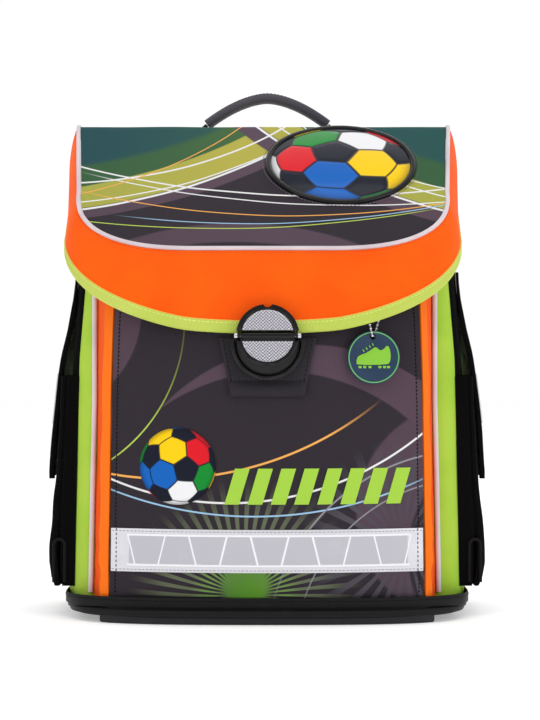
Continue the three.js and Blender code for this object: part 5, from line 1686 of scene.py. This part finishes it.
def border(side, word):
    """The black edging on the body's corner between the pouch's mouth and the lid."""
    zs = np.linspace(POUCH["top"] - 4, FLAP["top"] + 6, 24)
    from_y, to_y = 59.0, 72.0
    y, z = np.meshgrid(np.linspace(from_y, to_y, 8), zs)
    x = body_half(z) - corner_inset(y)
    rim = np.clip(np.minimum(y - from_y, to_y - y) / 1.5, 0, 1) ** 0.5
    outer, inner = coords(side * (x + 0.3 + 1.7 * rim), y, z), coords(side * (x + 0.1), y, z)
    slab("flap_border_" + word, outer, inner, BLACK_CLOTH)


def make_flap(side, word):
    zs = np.linspace(FLAP["bottom"], FLAP["top"], 60)
    v, z = np.meshgrid(np.linspace(0, 1, 31), zs)
    outer = flap_point(v, z)
    wave = flap_wave(side, v, z) * flap_hang(z)
    outer[..., 0] += wave
    flip = np.array([side, 1, 1])
    outer, inner = outer * flip, (outer - np.array([FLAP["cloth"], 0, 0])) * flip
    uv = coords((v - 0.5) * FLAP_WIDTH * side, z)
    middle = outer * 0.4 + inner * 0.6
    piece = slab("flap_" + word, outer, middle, FLAP_PRINT, uv=uv)
    lining = slab("flap_lining_" + word, middle, inner, LINING)
    binding = [flap_binding(side, share, wave) for share in (0, -1)]
    lining = join("flap_lining_" + word, [lining, *binding])
    stands_for(piece, "printed_fabric", "side_flap_" + word)
    border(side, word)
    v, z = np.meshgrid(np.linspace(0, 1, 31), np.linspace(*STRIP, 20))
    base = flap_point(v, z) + np.array([0.35, 0, 0])
    base[..., 0] += flap_wave(side, v, z)
    top, base = (base + np.array([0.8, 0, 0])) * flip, base * flip
    strip = slab("flap_strip_" + word, top, base, FILM, uv=coords((v - 0.5) * FLAP_WIDTH, z))
    stands_for(strip, "reflective", "flap_reflector_" + word)
    edge = []
    zz = np.linspace(FLAP["bottom"] + 3, FLAP["top"] - 12, 60)
    for share in (0.035, 0.965):
        line = flap_point(np.full(60, share), zz)
        line[:, 0] += flap_wave(side, np.full(60, share), zz) * flap_hang(zz) + 0.05
        keep = (zz < STRIP[0] - 2) | (zz > STRIP[1] + 2)
        line = line * flip
        for part in (line[keep & (zz < 160)], line[keep & (zz > 160)]):
            edge.append((part, same_out(len(part), (side, 0, 0.2))))
    stitches("flap_stitches_" + word, edge, THREAD_DARK, pitch=3.2, length=2.3, width=0.6)


for side_sign, side_word in SIDES:
    make_pouch(side_sign, side_word)
    make_flap(side_sign, side_word)


# Carry handle

HANDLE = {"top": 424.5, "drop": 22.0, "half": 50.5, "height": 8.5, "depth": 17.0, "y": 203.0}


def handle_under(x):
    return HANDLE["top"] - HANDLE["drop"] * (np.abs(x) / HANDLE["half"]) ** 1.75 - HANDLE["height"]


def make_handle():
    x = np.linspace(-HANDLE["half"], HANDLE["half"], 61)
    path = coords(x, HANDLE["y"], handle_under(x) + HANDLE["height"] / 2)
    section = round_section(HANDLE["depth"], HANDLE["height"], 28, 2.6)
    grip = sweep("handle_grip", path, same_out(61, (0, 0, 1.0)), section, HANDLE_CLOTH)
    stands_for(grip, "padding", "carry_handle")
    seam = path - np.array([0, HANDLE["depth"] / 2 - 2.2, 0])
    seam[:, 2] += HANDLE["height"] / 2 - 0.55
    rows = [(seam, same_out(61, (0, -0.4, 1.0)))]
    stitches("handle_stitches", rows, THREAD_DARK, pitch=3.0, length=2.1, width=0.6)
    start = HANDLE["half"] + 0.6
    top = float(handle_under(start)) + HANDLE["height"] / 2 - 0.4
    back_y = LID_BACK_Y + GAP + 1.5
    steps = np.array([
        (0, HANDLE["y"], 0, 1, 0, 0.5), (3.4, HANDLE["y"] - 0.4, 4.5, 1, 0.1, 0.2),
        (5.8, HANDLE["y"] - 1.4, 12, 1, 0.7, 0), (7, back_y + 5.3, 20, 0.5, 1, 0),
        (7.5, back_y + 1.9, 28, 0.12, 1, 0), (7.5, back_y + 0.2, 35, 0, 1, 0),
        (7.5, back_y, top - LID_BACK_Z, 0, 1, 0),
    ])
    centres, outs = coords(start + steps[:, 0], steps[:, 1], top - steps[:, 2]), steps[:, 3:]
    at = np.linspace(0, len(steps) - 1, 44)
    smooth = lambda rows: coords(*(np.interp(at, range(len(rows)), rows[:, k]) for k in range(3)))
    blur = lambda rows: (np.vstack([rows[:1], rows[:-1]]) + 2 * rows + np.vstack([rows[1:], rows[-1:]])) / 4
    path, out = smooth(centres), unit(smooth(outs))
    for _ in range(3):
        path, out = blur(path), unit(blur(out))
    web_section = lambda share: strap_section(15 + 9 * min(1.0, share * 1.4), 3.0)
    for side, word in SIDES:
        flip = np.array([side, 1, 1])
        piece = sweep("handle_web_" + word, path * flip, out * flip, web_section, WEBBING)
        stands_for(piece, "black_fabric", "handle_end_" + word)


make_handle()


# Back pad and shoulder straps

PAD = {"half": 103.0, "bottom": 30.0, "top": 326.0, "thick": 12.0, "round": 26.0}


def pad_loop(inset, y):
    sides = 6
    half_x = PAD["half"] - inset
    half_z = (PAD["top"] - PAD["bottom"]) / 2 - inset
    middle = (PAD["top"] + PAD["bottom"]) / 2
    ring = []
    for sx, sz, start in ((1, 1, 0), (-1, 1, 1), (-1, -1, 2), (1, -1, 3)):
        for i in range(sides + 1):
            turn = (start + i / sides) * math.pi / 2
            ring.append((
                sx * (half_x - PAD["round"]) + PAD["round"] * math.cos(turn), y,
                middle + sz * (half_z - PAD["round"]) + PAD["round"] * math.sin(turn),
            ))
    return np.array(ring)


def inflate(piece, cap_mm):
    """Puffs a piece with a short cloth simulation, limits how far each point moved, and keeps the result."""
    voxel_mm, frames, held_mm = 5.0, 20, 4.0
    select_only(piece)
    remesh = piece.modifiers.new("remesh", "REMESH")
    remesh.mode = "VOXEL"
    remesh.voxel_size = voxel_mm / 1000
    bpy.ops.object.modifier_apply(modifier=remesh.name)
    mesh = piece.data
    rest = read_points(mesh)
    held = piece.vertex_groups.new(name="held")
    limit = (BODY_BACK - SHIFT_Y) / 1000 + held_mm / 1000
    held.add([v.index for v in mesh.vertices if v.co.y < limit], 1.0, "REPLACE")
    cloth_modifier = piece.modifiers.new("cloth", "CLOTH")
    settings = cloth_modifier.settings
    settings.use_pressure = True
    settings.uniform_pressure_force = 4.0
    settings.vertex_group_mass = held.name
    settings.effector_weights.gravity = 0.0
    settings.quality = 5
    scene = bpy.context.scene
    for number in range(1, frames + 1):
        scene.frame_set(number)
    graph = bpy.context.evaluated_depsgraph_get()
    moved = read_points(piece.evaluated_get(graph).data)
    piece.modifiers.remove(cloth_modifier)
    delta = moved - rest
    size = np.linalg.norm(delta, axis=1, keepdims=True)
    delta *= np.minimum(1.0, cap_mm / 1000 / np.maximum(size, 1e-9))
    write_points(mesh, rest + delta)
    scene.frame_set(1)
    smooth = piece.modifiers.new("smooth", "SUBSURF")
    smooth.levels = 1
    bpy.ops.object.modifier_apply(modifier=smooth.name)
    piece.vertex_groups.clear()
    shade_smooth(piece.data)


def make_pad():
    y = BODY_BACK + GAP
    deep = PAD["thick"]
    section = (
        (14, 0.2), (2, 0.2), (1, 1.5), (1, deep * 0.35), (4, deep * 0.6), (10, deep * 0.8), (22, deep * 0.86),
        (60, deep * 0.88),
    )
    rings = [pad_loop(inset, y + rise) for inset, rise in section]
    pad = stack("back_cushion", rings, PAD_CLOTH)
    inflate(pad, 3.0)
    points = read_points(pad.data) * 1000
    depth = points[:, 1] - (BODY_BACK - SHIFT_Y)
    share = np.clip((depth - 4) / 5, 0, 1)
    groove = lambda depth, off, width: depth * np.exp(-(off / width) ** 2)
    column = groove(7.0, points[:, 0], 13.0)
    rows = sum(groove(2.4, points[:, 2] - z, 4.0) for z in (86, 142, 198, 254))
    sink = np.maximum(column, rows * (np.abs(points[:, 0]) > 16))
    points[:, 1] -= np.minimum(sink, np.maximum(depth - 2.5, 0)) * share
    points[:, 1] = np.maximum(points[:, 1], BODY_BACK - SHIFT_Y + 0.3)
    write_points(pad.data, points / 1000)
    stands_for(pad, "padding", "back_pad")


STRAP_BACK = BODY_BACK + GAP + 3.5
STRAP_ROUTE = [
    (42, STRAP_BACK, 346.5), (42.05, STRAP_BACK + 0.8, 341), (43.5, 202, 333.5), (46, 211, 322),
    (50, 222, 305), (55, 231.5, 280), (62, 238.5, 248), (70, 239.5, 212), (78, 235.5, 180), (84, 230, 155),
]
WEB_BACK = BODY_BACK + GAP + 0.9
ANCHOR_ROUTE = [
    (91, 222.5, 122), (99, 218, 104), (109, 210, 84), (119, 200, 64), (124, WEB_BACK + 1.4, 50),
    (125, WEB_BACK + 0.1, 36),
]


def leaned_outs(path, from_lean, to_lean):
    along = unit(np.gradient(path, axis=0))
    lean = np.linspace(from_lean, to_lean, len(path))
    return coords(lean, -along[:, 2], along[:, 1])


def make_straps():
    path = curve_through(STRAP_ROUTE, 70)
    outs = leaned_outs(path, 0, 0.25)
    _, out, across = frames_along(path, outs)
    web_path = curve_through(ANCHOR_ROUTE, 50)
    web_outs = leaned_outs(web_path, 0.25, 0)
    sewn = slice(6, -4)
    for side, word in SIDES:
        flip = np.array([side, 1, 1])
        strap = sweep("strap_" + word, path * flip, outs * flip, strap_section(55, 6.4, 0.6), PAD_CLOTH)
        stands_for(strap, "padding", "shoulder_strap_" + word)
        trims = []
        for offset in (-26.8, 26.8):
            line = (path + across * offset) * flip
            trims.append(sweep("trim", line, outs * flip, round_section(1.8, 7.4, 10), WEBBING))
        join("strap_edges_" + word, trims)
        rows = []
        for offset in (-12.5, 12.5):
            rows.append((((path + across * offset + out * 3.75) * flip)[sewn], (outs * flip)[sewn]))
        stitches("strap_stitches_" + word, rows, THREAD_GREY, pitch=3.6, length=2.4, width=0.6)
        web = sweep("strap_web_" + word, web_path * flip, web_outs * flip, strap_section(25, 1.8), WEBBING)
        stands_for(web, "black_fabric", "strap_webbing_" + word)


make_pad()
make_straps()

for node, shader in (
    ("strap_buckle_right", BLACK_PLASTIC), ("strap_buckle_left", BLACK_PLASTIC), ("charm_tab", WEBBING),
):
    for slot_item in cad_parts[node].material_slots:
        slot_item.material = shader.material


# Stage, lights and camera


def make_stage():
    mesh = bpy.data.meshes.new("floor")
    reach = 9.0
    corners = [(x * reach, y * reach, 0) for x, y in ((-1, -1), (1, -1), (1, 1), (-1, 1))]
    mesh.from_pydata(corners, [], [(0, 1, 2, 3)])
    floor_shader = Shader("floor_paint", srgb(250, 250, 250), 0.9, specular=0.1)
    floor_shader.bsdf.inputs["Emission Color"].default_value = (1.0, 1.0, 1.0, 1.0)
    floor_shader.bsdf.inputs["Emission Strength"].default_value = 0.3
    mesh.materials.append(floor_shader.material)
    floor = bpy.data.objects.new("floor", mesh)
    bpy.context.scene.collection.objects.link(floor)
    world = bpy.data.worlds.new("studio")
    world.use_nodes = True
    tree = world.node_tree
    sky = tree.nodes["Background"]
    sky.inputs["Color"].default_value = (1.0, 1.0, 1.0, 1.0)
    split = tree.nodes.new("ShaderNodeSeparateXYZ")
    tree.links.new(tree.nodes.new("ShaderNodeTexCoord").outputs["Generated"], split.inputs[0])
    glow = tree.nodes.new("ShaderNodeMapRange")
    glow.interpolation_type = "SMOOTHSTEP"
    behind, front, dim, bright = -0.1, 0.6, 0.55, 1.02
    for index, value in enumerate((behind, front, dim, bright), 1):
        glow.inputs[index].default_value = value
    tree.links.new(split.outputs["Y"], glow.inputs[0])
    tree.links.new(glow.outputs[0], sky.inputs["Strength"])
    bpy.context.scene.world = world


def softbox(name, at, size, energy):
    light = bpy.data.lights.new(name, "AREA")
    light.shape = "SQUARE"
    light.size = size
    light.energy = energy
    holder = bpy.data.objects.new(name, light)
    holder.location = at
    holder.rotation_euler = (Vector((0, 0, 0.2)) - Vector(at)).to_track_quat("-Z", "Y").to_euler()
    bpy.context.scene.collection.objects.link(holder)


def make_camera():
    camera = bpy.data.cameras.new("camera")
    distance, mm_per_pixel, frame_height, sensor = 1600.0, 0.75, 720, 36.0
    camera.sensor_width = sensor
    camera.lens = sensor * distance / (frame_height * mm_per_pixel)
    camera.clip_end = 50
    holder = bpy.data.objects.new("camera", camera)
    holder.location = place([2.25, -distance, 199.5])
    holder.rotation_euler = (math.pi / 2, 0, 0)
    bpy.context.scene.collection.objects.link(holder)
    bpy.context.scene.camera = holder


make_stage()
softbox("top_softbox", (0.0, -0.7, 2.1), 1.6, 12)
softbox("left_softbox", (-1.7, -1.7, 1.1), 1.3, 7)
softbox("right_softbox", (1.8, -1.5, 1.0), 1.3, 9)
softbox("back_softbox", (0.6, 2.2, 1.6), 1.6, 8)
make_camera()

settings_view = bpy.context.scene.view_settings
settings_view.view_transform = "Standard"
settings_view.look = "None"
